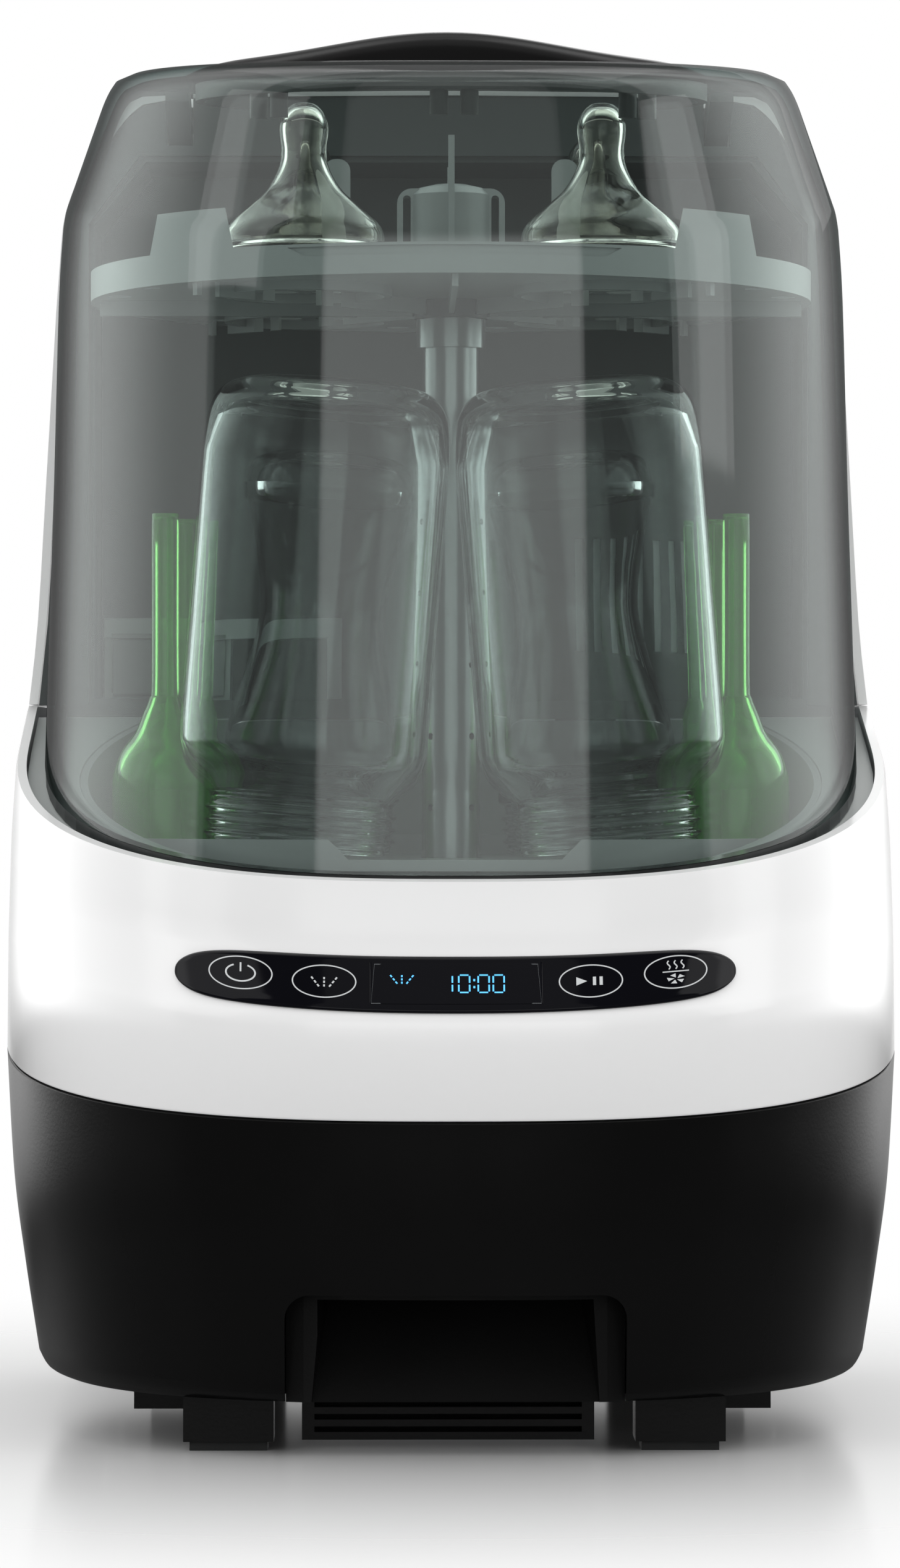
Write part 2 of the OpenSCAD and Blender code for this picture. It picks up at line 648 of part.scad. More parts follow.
// Round basket: a pierced floor with a hub, teat seats, a rim with side tabs and two lifting tabs.
module upper_rack() {
    hub_r = 12.4;
    rim_recess = 0.8;
    seats = [front_teat, rear_teat, [-front_teat[0], front_teat[1]], [-rear_teat[0], rear_teat[1]]];
    tab_x = 84;
    color("#b4baba") {
        difference() {
            union() {
                translate([0, tower_y, upper_rack_z - 3]) cylinder(r = upper_rack_r - 1, h = 3);
                translate([0, tower_y, upper_rack_z - 4]) tube(upper_rack_r, upper_rack_r - 3.4, 10);
                for (p = seats) translate([p[0], p[1], upper_rack_z - 6]) tube(29, 26.6, 14);
                translate([0, tower_y, upper_rack_z - 9]) cylinder(r = hub_r, h = 15);
                for (a = [0:45:315]) translate([0, tower_y, upper_rack_z - 8]) rotate([0, 0, a])
                    translate([hub_r - 1, -1, 0]) cube([upper_rack_r - hub_r - 2, 2, 6]);
            }
            translate([0, tower_y, 300]) cylinder(r = tower_d / 2 + 0.15, h = 84.2);
            for (p = seats) translate([p[0], p[1], upper_rack_z - 12]) cylinder(r = 11, h = 30);
            for (p = seats, a = [22.5:45:337.5]) translate([p[0], p[1], upper_rack_z - 12])
                rotate([0, 0, a]) translate([19.4, 0, 0]) cylinder(r = 5.2, h = 30);
            for (a = [9:18:351]) translate([0, tower_y, upper_rack_z - 12]) rotate([0, 0, a])
                translate([upper_rack_r - 9, 0, 0]) cylinder(r = 4, h = 24);
            intersection() {
                translate([0, tower_y, upper_rack_z - 12])
                    tube(upper_rack_r + 1, upper_rack_r - rim_recess, 30);
                translate([0, tower_y, upper_rack_z + 2]) rotate([90, 0, 0]) linear_extrude(height = 200)
                    polygon([[-48, 0], [48, 0], [57, 5], [-57, 5]]);
            }
        }
        difference() {
            translate([0, tower_y, upper_rack_z + 5]) tube(upper_rack_r, upper_rack_r - 3.4, 14);
            for (side = [-1, 1]) translate([0, tower_y + side * 50, upper_rack_z + 5.5]) rotate([90, 0, 0])
                linear_extrude(height = 200, center = true) polygon([[-tab_x + 9, 20],
                    [-tab_x + 13, 0], [tab_x - 13, 0], [tab_x - 9, 20]]);
            mirrored_x() translate([tab_x + 26, tower_y, upper_rack_z + 5.5]) rotate([90, 0, 0])
                linear_extrude(height = 300, center = true)
                    polygon([[-15, 20], [-11, 0], [30, 0], [30, 20]]);
        }
        for (s = [-1, 1]) translate([s * 38.5, tower_y, upper_rack_z - 1]) upright(4.5, 46, 4, 3);
    }
}

// Drum with a domed lid over the tower's top, in an arched frame with an upright fin in front.
module rack_cage() {
    drum_z = 6.2;
    frame_h = drum_z + 28.5;
    color("#a4aaaa") translate([0, tower_y, upper_rack_z]) {
        translate([0, 0, drum_z]) rotate_extrude() polygon([[11, 0], [13.6, 0], [13.6, 26.5],
            [11, 28.9], [6, 30.1], [0, 30.5], [0, 28.3], [9, 27], [11, 25]]);
        difference() {
            translate([0, 0, 0.1]) upright(18.2, frame_h, 5, 9);
            translate([0, 0, 0.1]) cylinder(r = 13.4, h = frame_h - 2.4);
            for (s = [-1, 1]) translate([s * 14.9, 0, 0.1]) upright(1.3, frame_h - 2.4, 1.2, 20);
        }
        translate([-1.05, -17, drum_z]) cube([2.1, 5, 45.3]);
        translate([-1.05, 11.6, drum_z + 20]) cube([2.1, 4, 17.5]);
    }
}

module steam_heater() {
    color("#7d4a35") translate([0, tower_y, 141]) {
        rotate_extrude() translate([84, 0]) circle(r = 4);
        for (s = [-1, 1]) translate([s * 8, 84, -14]) cylinder(r = 2, h = 12);
    }
}

// Pump: a volute with an impeller in it, driven by a motor below.
wash_x = -64;
drain_x = 66;
pump_z = 78;
module volute(radius, height) {
    difference() {
        union() {
            cylinder(r = radius, h = height);
            translate([radius - 9, 0, height / 2]) rotate([-90, 0, 0])
                cylinder(r = 7, h = radius + 14);
        }
        translate([0, 0, 2.5]) cylinder(r = radius - 3, h = height - 5);
        translate([0, 0, -1]) cylinder(r = 2.6, h = 5);
        translate([0, 0, height - 4]) cylinder(r = 9, h = 6);
        translate([radius - 9, 1, height / 2]) rotate([-90, 0, 0])
            cylinder(r = 5, h = radius + 16);
    }
}

module impeller(radius, height, shaft) {
    cylinder(r = radius, h = 2);
    cylinder(r = 5, h = height);
    for (a = [0:60:300]) rotate([0, 0, a]) translate([3, -0.9, 0]) cube([radius - 4, 1.8, height]);
    translate([0, 0, -shaft]) cylinder(r = 2.5, h = shaft);
}

module motor(radius, height) {
    difference() {
        union() {
            cylinder(r = radius, h = height);
            for (z = [6:6:height - 6]) translate([0, 0, z]) cylinder(r = radius + 0.8, h = 1.6);
        }
        translate([0, 0, height - 16]) cylinder(r = 2.6, h = 20);
    }
}

module wash_pump() {
    color("#3c4042") translate([wash_x, tower_y, pump_z]) volute(30, 24);
}
module wash_pump_motor() {
    color("#6f7476") translate([wash_x, tower_y, 30]) motor(25, pump_z - 30.2);
}
module wash_pump_impeller() {
    color("#d8dcdc") translate([wash_x, tower_y, pump_z + 4]) impeller(24, 14, 16);
}
module drain_pump() {
    color("#3c4042") translate([drain_x, tower_y, pump_z]) volute(22, 20);
}
module drain_pump_motor() {
    color("#6f7476") translate([drain_x, tower_y, 40]) motor(18, pump_z - 40.2);
}
module drain_pump_impeller() {
    color("#d8dcdc") translate([drain_x, tower_y, pump_z + 4]) impeller(16.5, 11, 16);
}

// Dryer: filter behind the hinged cover, blower in front of it, duct up behind the tub.
blower = [-22, 84, 40];
module blower_housing() {
    color("#2e3335") translate(blower) difference() {
        union() {
            cylinder(r = 40, h = 34);
            translate([0, 14, 0]) cube([58, 26, 34]);
        }
        translate([0, 0, 3]) cylinder(r = 37, h = 28);
        translate([0, 17, 3]) cube([70, 20, 28]);
        translate([0, 0, -1]) cylinder(r = 20, h = 5);
        translate([0, 0, 30]) cylinder(r = 3.2, h = 6);
    }
}
module blower_motor() {
    color("#6f7476") translate([blower[0], blower[1], blower[2] + 34.2]) difference() {
        cylinder(r = 20, h = 28);
        translate([0, 0, -1]) cylinder(r = 2.55, h = 20);
    }
}
module blower_wheel() {
    color("#d8dcdc") translate([blower[0], blower[1], blower[2] + 5]) {
        translate([0, 0, 20]) cylinder(r = 33, h = 2);
        for (a = [0:18:342]) rotate([0, 0, a]) translate([25, -0.7, 0]) cube([8, 1.4, 21]);
        tube(33, 31.5, 2);
        translate([0, 0, 20]) cylinder(r = 2.5, h = 24);
    }
}
module air_duct() {
    color("#2e3335") difference() {
        translate([36.4, 101, 40]) cube([26, 24, rear_lip_z - 42]);
        translate([39, 103.5, 38]) cube([21, 19, rear_lip_z - 30]);
        translate([30, 103.5, 43]) cube([20, 17.5, 28]);
    }
}
module hepa_filter() {
    pleats = 15;
    width = 90;
    color("#e4e6e0") translate([-65, 138, 43]) linear_extrude(height = 43) polygon(concat(
        [for (i = [0:2 * pleats]) [width * i / (2 * pleats), i % 2 == 0 ? 20 : 14]],
        [for (i = [2 * pleats:-1:0]) [width * i / (2 * pleats), i % 2 == 0 ? 6 : 0]]));
}

module filter_cover() {
    x0 = filter_door[0];
    z0 = filter_door[1];
    w = filter_door[2];
    cover_t = 2.6;
    color("#161616") {
        difference() {
            translate([x0, filter_door_y, z0 + cover_t / 2])
                cube([w, cover_t, filter_door[3] - cover_t / 2]);
            for (i = [0:7]) translate([x0 + 12, filter_door_y - 1, z0 + 10 + 5 * i]) cube([w - 24, 5, 2.2]);
        }
        translate([x0, filter_door_y + cover_t / 2, z0 + cover_t / 2]) rotate([0, 90, 0])
            cylinder(d = cover_t, h = w);
    }
}

module power_inlet() {
    color("#0c0c0c") translate([inlet_x, 137, inlet_z]) difference() {
        cube([inlet_size[0], 23, inlet_size[1]]);
        translate([3.5, 5, 3.5]) cube([inlet_size[0] - 7, 24, inlet_size[1] - 7]);
    }
    color("silver") for (x = [9, 16, 23]) translate([inlet_x + x - 1, 141, inlet_z + 10])
        cube([2, 14, 4]);
}

// ---- Water tanks behind the chamber ----

bay_y = 104;
module tank_bay() {
    color("#e6e8e8") {
        translate([-116, bay_y, rear_lip_z + 0.6]) cube([232, 2, tank_h + 6]);
        translate([-116, bay_y, rear_lip_z + 0.6]) cube([232, 52, 3.6]);
        translate([-1.2, bay_y, rear_lip_z + 0.6]) cube([2.4, 60, tank_h + 6]);
    }
}

lid_h = 8;
module tank_block(grow, z0, z1) {
    intersection() {
        translate([0, 0, z0]) linear_extrude(height = z1 - z0) polygon(outline(18 - grow, 30, 6.5 - grow));
        translate([2 - grow, bay_y + 3 - grow, z0 - 1]) cube([200, 200, z1 - z0 + 2]);
    }
}
module grip_pocket(grow) {
    translate([20 - grow, front_len - 20 - grow, tank_top_z - 66 - grow])
        cube([50 + 2 * grow, 60, 28 + 2 * grow]);
}
module tank() {
    difference() {
        tank_block(0, tank_z, tank_top_z - lid_h);
        difference() {
            tank_block(-tank_wall, tank_z + tank_wall, tank_top_z + 1);
            grip_pocket(tank_wall);
        }
        grip_pocket(0);
    }
}
module tank_lid() {
    difference() {
        tank_block(0, tank_top_z - lid_h + 0.1, tank_top_z);
        tank_block(-tank_wall, tank_top_z - lid_h, tank_top_z - 3);
        translate([58, 130, tank_top_z - 2]) tube(19, 16, 4);
    }
}
module clean_tank() {
    color([0.75, 0.85, 0.9, 0.6]) tank();
}
module clean_tank_lid() {
    color("#e8eaea") tank_lid();
}
module waste_tank() {
    color([0.5, 0.52, 0.54, 0.6]) mirror([1, 0, 0]) tank();
}
module waste_tank_lid() {
    color("#8a8f90") mirror([1, 0, 0]) tank_lid();
}

// Detergent box on the left of the rear wall, with a frame that reaches towards the middle.
box_y = 80;
door_hinge_z = 246.5;
module detergent_box() {
    color("#9ba1a1") {
        difference() {
            translate([-122, box_y, 244.2]) cube([40, 21, 25.8]);
            translate([-119.5, box_y - 1, 246.5]) cube([35, 19, 21]);
        }
        difference() {
            translate([-122, box_y - 3, 266]) cube([86, 6, 7]);
            translate([-119.5, box_y - 4, 240]) cube([35, 4, 27.5]);
        }
        translate([-42, box_y - 3, 244.6]) cube([6, 6, 22]);
    }
}
module detergent_door() {
    door_t = 2.2;
    color("#7f8686") translate([-119, box_y - 1.5, door_hinge_z]) {
        rotate([0, 90, 0]) cylinder(d = door_t, h = 34);
        translate([0, -door_t / 2, 0]) cube([34, door_t, 18.9]);
    }
}

// ---- Load ----

// Inverted bottle standing on its mouth, its profile from mouth to base.
function bottle_profile(d, waist, h) = let (r = d / 2) [
    [27, 0], [29.6, 0], [29.6, 3], [30.4, 4], [29.6, 5], [29.6, 8], [30.4, 9], [29.6, 10], [29.6, 15],
    [r - 1.5, 26], [r, 36], [r - waist, 70], [r - waist, 90], [r, 122], [r - 0.6, h - 14],
    [r - 4.5, h - 4.5], [r - 14, h]
];
module bottle(d, waist, h) {
    t = 2.4;
    outside = bottle_profile(d, waist, h);
    inside = [for (p = reversed(outside)) if (p[1] > 12 || p[1] == 0)
        [min(p[0], 29.6 + 100 * (p[1] > 20 ? 1 : 0)) - t, p[1] > h - 20 ? p[1] - t : p[1]]];
    rotate_extrude($fn = 72) polygon(concat([[0, h - 1.5]], [[0, h - 1.5 - t]],
        [for (p = inside) if (p[0] < 27 || p[1] > 0) p], outside));
}
module leaning_bottle(mouth, side, d, waist, h) {
    translate([side * mouth[0], mouth[1], lower_rack_z + 3]) rotate([0, -side * bottle_lean, 0])
        bottle(d, waist, h);
}
module bottle_front_left() {
    color([0.85, 0.9, 0.9, 0.4]) leaning_bottle(front_mouth, -1, bottle_d, 0, 155);
}
module bottle_front_right() {
    color([0.85, 0.9, 0.9, 0.4]) leaning_bottle(front_mouth, 1, bottle_d, 0, 155);
}
module bottle_rear_left() {
    color([0.85, 0.9, 0.9, 0.4]) leaning_bottle(rear_mouth, -1, rear_bottle_d, 9, 142);
}
module bottle_rear_right() {
    color([0.85, 0.9, 0.9, 0.4]) leaning_bottle(rear_mouth, 1, rear_bottle_d, 9, 142);
}

// Teat standing on its flange: a hollow bell with a narrow tip.
teat_outside = [[28.6, 0], [28.6, 2.4], [26.5, 3.2], [26.5, 6.4], [24.6, 10], [18.6, 15.4], [13, 20.4],
    [9.6, 25.4], [7.9, 30], [7.5, 34], [8, 38.4], [8.1, 42], [6.9, 46], [4.1, 49], [0, 49.8]];
module teats() {
    t = 1.8;
    inside = [for (p = reversed(teat_outside)) [max(0, p[0] - t), p[1] > 44 ? p[1] - t : p[1] - t * 0.4]];
    color([0.95, 0.9, 0.7, 0.6]) mirrored_x() for (p = [front_teat, rear_teat])
        translate([p[0], p[1], upper_rack_z + 8.1]) rotate_extrude($fn = 48)
            polygon(concat(teat_outside, [for (q = inside) if (q[1] > 0) q], [[28.6 - t, 0]]));
}

// Green vent tubes: a narrow tube on a bell that stands over a peg.
module vent_tube(bell_r) {
    rotate_extrude($fn = 40) polygon([[bell_r - 2, 0], [bell_r, 0], [bell_r, 26], [bell_r - 3, 34],
        [6.5, 47], [4.6, 54], [4.6, 112], [2.9, 112], [2.9, 53], [5, 45.5], [bell_r - 4.8, 32.5],
        [bell_r - 2, 25]]);
}
module vent_tubes() {
    color([0.3, 0.75, 0.2, 0.7]) mirrored_x() {
        translate([front_tube[0], front_tube[1], lower_rack_z + 3]) vent_tube(18);
        translate([rear_tube[0], rear_tube[1], lower_rack_z + 3]) vent_tube(16);
    }
}

base_shell();
base_plate();
grip_insert();
foot_blocks();
rubber_feet();
underside_cover();
base_screws();
middle_band();
control_panel();
display_window();
display_module();
control_board();
rear_housing();
housing_bezel();
chamber_liner();
chamber_deck();
chamber_tub();
hood_gasket();
sump_filter();
spray_arm();
spray_tower();
tower_collar();
lower_rack();
rack_legs();
upper_rack();
rack_cage();
steam_heater();
wash_pump();
wash_pump_motor();
wash_pump_impeller();
drain_pump();
drain_pump_motor();
drain_pump_impeller();
blower_housing();
blower_motor();
blower_wheel();
air_duct();
hepa_filter();
filter_cover();
power_inlet();
tank_bay();
clean_tank();
clean_tank_lid();
waste_tank();
waste_tank_lid();
detergent_box();
detergent_door();
hood_shell();
hood_arms();
ceiling_ring();
hinge_brackets();
hinge_pins();
top_cap();
bottle_front_left();
bottle_front_right();
bottle_rear_left();
bottle_rear_right();
teats();
vent_tubes();
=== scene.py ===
import math

import bmesh
import bpy
from mathutils import Matrix, Vector


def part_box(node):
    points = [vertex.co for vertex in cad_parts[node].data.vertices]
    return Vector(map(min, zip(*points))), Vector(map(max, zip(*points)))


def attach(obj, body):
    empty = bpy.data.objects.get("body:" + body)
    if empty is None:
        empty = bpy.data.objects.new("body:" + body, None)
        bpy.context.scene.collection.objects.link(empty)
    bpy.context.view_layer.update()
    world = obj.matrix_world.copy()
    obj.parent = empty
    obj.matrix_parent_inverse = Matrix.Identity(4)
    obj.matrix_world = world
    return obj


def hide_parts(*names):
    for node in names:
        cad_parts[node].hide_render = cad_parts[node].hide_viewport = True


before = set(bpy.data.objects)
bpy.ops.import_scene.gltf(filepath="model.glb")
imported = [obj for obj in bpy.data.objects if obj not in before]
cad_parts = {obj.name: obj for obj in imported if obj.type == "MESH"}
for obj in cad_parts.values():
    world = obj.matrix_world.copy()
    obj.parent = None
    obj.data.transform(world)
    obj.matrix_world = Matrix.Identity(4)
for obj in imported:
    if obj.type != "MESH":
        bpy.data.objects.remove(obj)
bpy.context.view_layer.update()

MM = 0.001


# ---- Camera, world and floor ----

def new_object(name, data):
    """An object in the scene with that mesh, lamp or camera."""
    thing = bpy.data.objects.new(name, data)
    bpy.context.scene.collection.objects.link(thing)
    return thing


CAMERA_X, CAMERA_Y, CAMERA_Z = -0.023, -2.0, 0.211
CAMERA_TILT = 0.085
LENS, SENSOR = 134.1, 36


def make_camera():
    """A long lens two metres in front, a touch to the left, level with the foot of the hood."""
    data = bpy.data.cameras.new("camera")
    data.lens = LENS
    data.sensor_width = SENSOR
    camera = new_object("camera", data)
    camera.location = (CAMERA_X, CAMERA_Y, CAMERA_Z)
    camera.rotation_euler = (math.radians(90 + CAMERA_TILT), 0, -math.atan2(-CAMERA_X, -CAMERA_Y))
    bpy.context.scene.camera = camera


def link(tree, a, b):
    tree.links.new(a, b)


def math_node(tree, operation, a, b=None, clamp=False):
    """A Math node; a and b are sockets or plain numbers."""
    node = tree.nodes.new("ShaderNodeMath")
    node.operation = operation
    node.use_clamp = clamp
    for socket, value in zip(node.inputs, (a, b)):
        if isinstance(value, (int, float)):
            socket.default_value = value
        elif value is not None:
            link(tree, value, socket)
    return node.outputs[0]


def range_node(tree, value, from_range, to_range):
    """A smooth step from one number range to another."""
    node = tree.nodes.new("ShaderNodeMapRange")
    node.interpolation_type = "SMOOTHSTEP"
    node.inputs["From Min"].default_value, node.inputs["From Max"].default_value = from_range
    node.inputs["To Min"].default_value, node.inputs["To Max"].default_value = to_range
    link(tree, value, node.inputs["Value"])
    return node.outputs["Result"]


def background(tree, value):
    """White surroundings whose brightness is the value."""
    node = tree.nodes.new("ShaderNodeBackground")
    link(tree, value, node.inputs["Strength"])
    return node.outputs[0]


def mixed(tree, factor, first, second):
    """The first shader where factor is 0, the second where it is 1."""
    node = tree.nodes.new("ShaderNodeMixShader")
    link(tree, factor, node.inputs[0])
    link(tree, first, node.inputs[1])
    link(tree, second, node.inputs[2])
    return node.outputs[0]


# Brightness of the studio as reflections see it, and of the soft light on matt surfaces.
PANEL_LEVEL, FLANK_LEVEL, NEAR_SIDE_LEVEL, FAR_SIDE_LEVEL = 2.0, 0.25, 1.5, 2.8
OVER_PANEL_SHARE, BACK_SHARE, UNDER_FLOOR_SHARE = 0.25, 0.15, 0.03
SOFT_LEVEL = 0.93
# Where they start and end: angles in radians, turning from straight in front to straight behind.
PANEL_EDGE, NEAR_SIDE_EDGE, FAR_SIDE_EDGE, BACK_EDGE = (0.36, 0.375), (1.06, 1.1), (1.3, 2.2), (2.3, 2.9)
# The same for height: 1 straight up, 0 level, below 0 downwards.
PANEL_TOP, FLOOR_LINE = (0.3, 0.5), (-0.13, -0.04)


def make_world():
    """A white studio whose reflections show a tall panel in front, dark flanks, bright sides and a
    dark back, so that silhouettes stay dark."""
    world = bpy.data.worlds.new("studio")
    bpy.context.scene.world = world
    world.use_nodes = True
    tree = world.node_tree
    tree.nodes.clear()
    coord = tree.nodes.new("ShaderNodeTexCoord")
    split = tree.nodes.new("ShaderNodeSeparateXYZ")
    link(tree, coord.outputs["Generated"], split.inputs[0])
    up = split.outputs["Z"]
    side = math_node(tree, "ABSOLUTE", split.outputs["X"])
    turn = math_node(tree, "ARCTAN2", side, math_node(tree, "MULTIPLY", split.outputs["Y"], -1.0))

    # In front: the panel between dark flanks, only as high as the upper edge of the hood's front.
    panel = range_node(tree, turn, PANEL_EDGE, (PANEL_LEVEL, FLANK_LEVEL))
    low_enough = range_node(tree, up, PANEL_TOP, (1, OVER_PANEL_SHARE))
    front = math_node(tree, "MULTIPLY", panel, low_enough)
    near_side = range_node(tree, turn, NEAR_SIDE_EDGE, (0, NEAR_SIDE_LEVEL))
    far_side = range_node(tree, turn, FAR_SIDE_EDGE, (0, FAR_SIDE_LEVEL))
    behind = range_node(tree, turn, BACK_EDGE, (1, BACK_SHARE))
    beside = math_node(tree, "MULTIPLY", math_node(tree, "ADD", near_side, far_side), behind)
    above_floor = range_node(tree, up, FLOOR_LINE, (UNDER_FLOOR_SHARE, 1))
    mirrored_level = math_node(tree, "MULTIPLY", math_node(tree, "ADD", front, beside), above_floor)

    # Soft light on matt surfaces: even all round, stronger from above.
    soft_level = range_node(tree, up, (-0.4, 0.9), (SOFT_LEVEL * 0.75, SOFT_LEVEL * 1.2))
    path = tree.nodes.new("ShaderNodeLightPath")
    lit = mixed(tree, path.outputs["Is Glossy Ray"], background(tree, soft_level),
                background(tree, mirrored_level))
    white = tree.nodes.new("ShaderNodeBackground")
    output = tree.nodes.new("ShaderNodeOutputWorld")
    white.inputs["Color"].default_value = (1, 1, 1, 1)
    link(tree, mixed(tree, path.outputs["Is Camera Ray"], lit, white.outputs[0]), output.inputs[0])
    bpy.context.scene.view_settings.view_transform = "Standard"


def make_light(name, place, size, power, target=(0, 0, 0.25)):
    """A rectangular lamp of (width, height), aimed at the target."""
    data = bpy.data.lights.new(name, "AREA")
    data.shape = "RECTANGLE"
    data.size, data.size_y = size
    data.energy = power
    lamp = new_object(name, data)
    lamp.location = place
    lamp.rotation_euler = (Vector(target) - Vector(place)).to_track_quat("-Z", "Y").to_euler()


def make_lights():
    make_light("key_left", (-1.6, -1.1, 1.4), (1.2, 1.6), 7)
    make_light("key_right", (1.8, -0.9, 1.2), (1.0, 1.6), 7)
    make_light("overhead", (0.0, 0.1, 1.9), (1.4, 1.4), 6)
    make_light("rear", (0.6, 1.8, 1.2), (1.4, 1.0), 5)


FLOOR_RADIUS = 1.1
FLOOR_FADE = (0.17, 0.52)
FLOOR_LOST_IN_GLOSS = 0.85


def make_floor():
    """A pale glossy disc that fades out to the white surroundings and hardly shows in reflections."""
    mesh = bpy.data.meshes.new("floor")
    shape = bmesh.new()
    bmesh.ops.create_circle(shape, cap_ends=True, segments=96, radius=FLOOR_RADIUS)
    shape.to_mesh(mesh)
    shape.free()
    floor = new_object("floor", mesh)
    material, tree = new_material("floor_gloss")
    shader = tree.nodes["Principled BSDF"]
    shader.inputs["Base Color"].default_value = (0.93, 0.93, 0.93, 1)
    shader.inputs["Roughness"].default_value = 0.16
    coord = tree.nodes.new("ShaderNodeTexCoord")
    length = tree.nodes.new("ShaderNodeVectorMath")
    length.operation = "LENGTH"
    link(tree, coord.outputs["Object"], length.inputs[0])
    fade = range_node(tree, length.outputs["Value"], FLOOR_FADE, (1, 0))
    path = tree.nodes.new("ShaderNodeLightPath")
    mirrored = math_node(tree, "MULTIPLY", path.outputs["Is Glossy Ray"], -FLOOR_LOST_IN_GLOSS)
    shown = math_node(tree, "ADD", mirrored, 1.0)
    link(tree, math_node(tree, "MULTIPLY", fade, shown), shader.inputs["Alpha"])
    mesh.materials.append(material)


# ---- Materials ----

def new_material(name):
    """A node material and its node tree."""
    material = bpy.data.materials.new(name)
    material.use_nodes = True
    return material, material.node_tree


def noise_of(tree, scale, detail=3.0):
    """Noise in the object's own space, scale in features per metre."""
    coord = tree.nodes.new("ShaderNodeTexCoord")
    noise = tree.nodes.new("ShaderNodeTexNoise")
    noise.inputs["Scale"].default_value = scale
    noise.inputs["Detail"].default_value = detail
    link(tree, coord.outputs["Object"], noise.inputs["Vector"])
    return noise.outputs["Fac"]


def ranged(tree, value, low, high):
    """Spreads the middle of a noise's range over low to high."""
    node = tree.nodes.new("ShaderNodeMapRange")
    node.inputs["From Min"].default_value = 0.3
    node.inputs["From Max"].default_value = 0.7
    node.inputs["To Min"].default_value = low
    node.inputs["To Max"].default_value = high
    link(tree, value, node.inputs["Value"])
    return node.outputs["Result"]


def two_tone(tree, value, first, second):
    """The first colour where value is 0, the second where it is 1."""
    node = tree.nodes.new("ShaderNodeMix")
    node.data_type = "RGBA"
    node.inputs["A"].default_value = (*first, 1)
    node.inputs["B"].default_value = (*second, 1)
    link(tree, value, node.inputs["Factor"])
    return node.outputs["Result"]


def add_bump(tree, height, strength, distance):
    """Roughens a material's surface by a height pattern; distance is in metres."""
    bump = tree.nodes.new("ShaderNodeBump")
    bump.inputs["Strength"].default_value = strength
    bump.inputs["Distance"].default_value = distance
    link(tree, height, bump.inputs["Height"])
    link(tree, bump.outputs["Normal"], tree.nodes["Principled BSDF"].inputs["Normal"])


def plastic(name, colour, roughness, grain=900, relief=0.02, coat=0.0, spread=0.06, metallic=0.0,
            specular=0.5):
    """Moulded plastic, rubber or metal: slightly uneven colour and gloss over a fine grain."""
    material, tree = new_material(name)
    shader = tree.nodes["Principled BSDF"]
    broad = noise_of(tree, 22)
    darker = tuple(c * (1 - spread) for c in colour)
    link(tree, two_tone(tree, broad, darker, colour), shader.inputs["Base Color"])
    link(tree, ranged(tree, broad, roughness * 0.88, roughness * 1.12), shader.inputs["Roughness"])
    add_bump(tree, noise_of(tree, grain, 2), relief, 0.0004)
    shader.inputs["Coat Weight"].default_value = coat
    shader.inputs["Coat Roughness"].default_value = 0.04
    shader.inputs["Metallic"].default_value = metallic
    shader.inputs["Specular IOR Level"].default_value = specular
    return material


def clear_pane(name, tint, gloss=0.04, haze=0.0, haze_colour=(0.6, 0.66, 0.64), reflection=0.05,
               edge_tint=None, edge_reflection=1.0):
    """Thin clear plastic: tinted see-through, darker and glossier where it is seen edge on."""
    material, tree = new_material(name)
    tree.nodes.remove(tree.nodes["Principled BSDF"])
    facing = tree.nodes.new("ShaderNodeLayerWeight")
    facing.inputs["Blend"].default_value = 0.5
    through = tree.nodes.new("ShaderNodeBsdfTransparent")
    edge_on = range_node(tree, facing.outputs["Facing"], (0.7, 0.88), (0, 1))
    link(tree, two_tone(tree, edge_on, tint, edge_tint or tint), through.inputs["Color"])
    body = tree.nodes.new("ShaderNodeBsdfPrincipled")
    body.inputs["Base Color"].default_value = (*haze_colour, 1)
    body.inputs["Roughness"].default_value = 0.35
    gloss_shader = tree.nodes.new("ShaderNodeBsdfAnisotropic")
    uneven_gloss = ranged(tree, noise_of(tree, 30), gloss * 0.8, gloss * 1.2)
    link(tree, uneven_gloss, gloss_shader.inputs["Roughness"])
    veil = tree.nodes.new("ShaderNodeMixShader")
    veil.inputs[0].default_value = haze
    link(tree, through.outputs[0], veil.inputs[1])
    link(tree, body.outputs[0], veil.inputs[2])
    grazing = math_node(tree, "POWER", facing.outputs["Facing"], 5.0)
    gain = math_node(tree, "MULTIPLY", grazing, edge_reflection - reflection)
    edge = math_node(tree, "ADD", gain, reflection, clamp=True)
    mixer = tree.nodes.new("ShaderNodeMixShader")
    link(tree, edge, mixer.inputs[0])
    link(tree, veil.outputs[0], mixer.inputs[1])
    link(tree, gloss_shader.outputs[0], mixer.inputs[2])
    link(tree, mixer.outputs[0], tree.nodes["Material Output"].inputs["Surface"])
    return material


def glass(name, colour, roughness=0.02, ior=1.46, waviness=0.05, clearness=1.0):
    """Clear moulded plastic or silicone that refracts, its surface very slightly wavy."""
    material, tree = new_material(name)
    shader = tree.nodes["Principled BSDF"]
    paler = tuple(min(1.0, c * 1.03) for c in colour)
    link(tree, two_tone(tree, noise_of(tree, 24), colour, paler), shader.inputs["Base Color"])
    add_bump(tree, noise_of(tree, 60, 1), waviness, 0.001)
    shader.inputs["Roughness"].default_value = roughness
    shader.inputs["IOR"].default_value = ior
    shader.inputs["Transmission Weight"].default_value = clearness
    return material


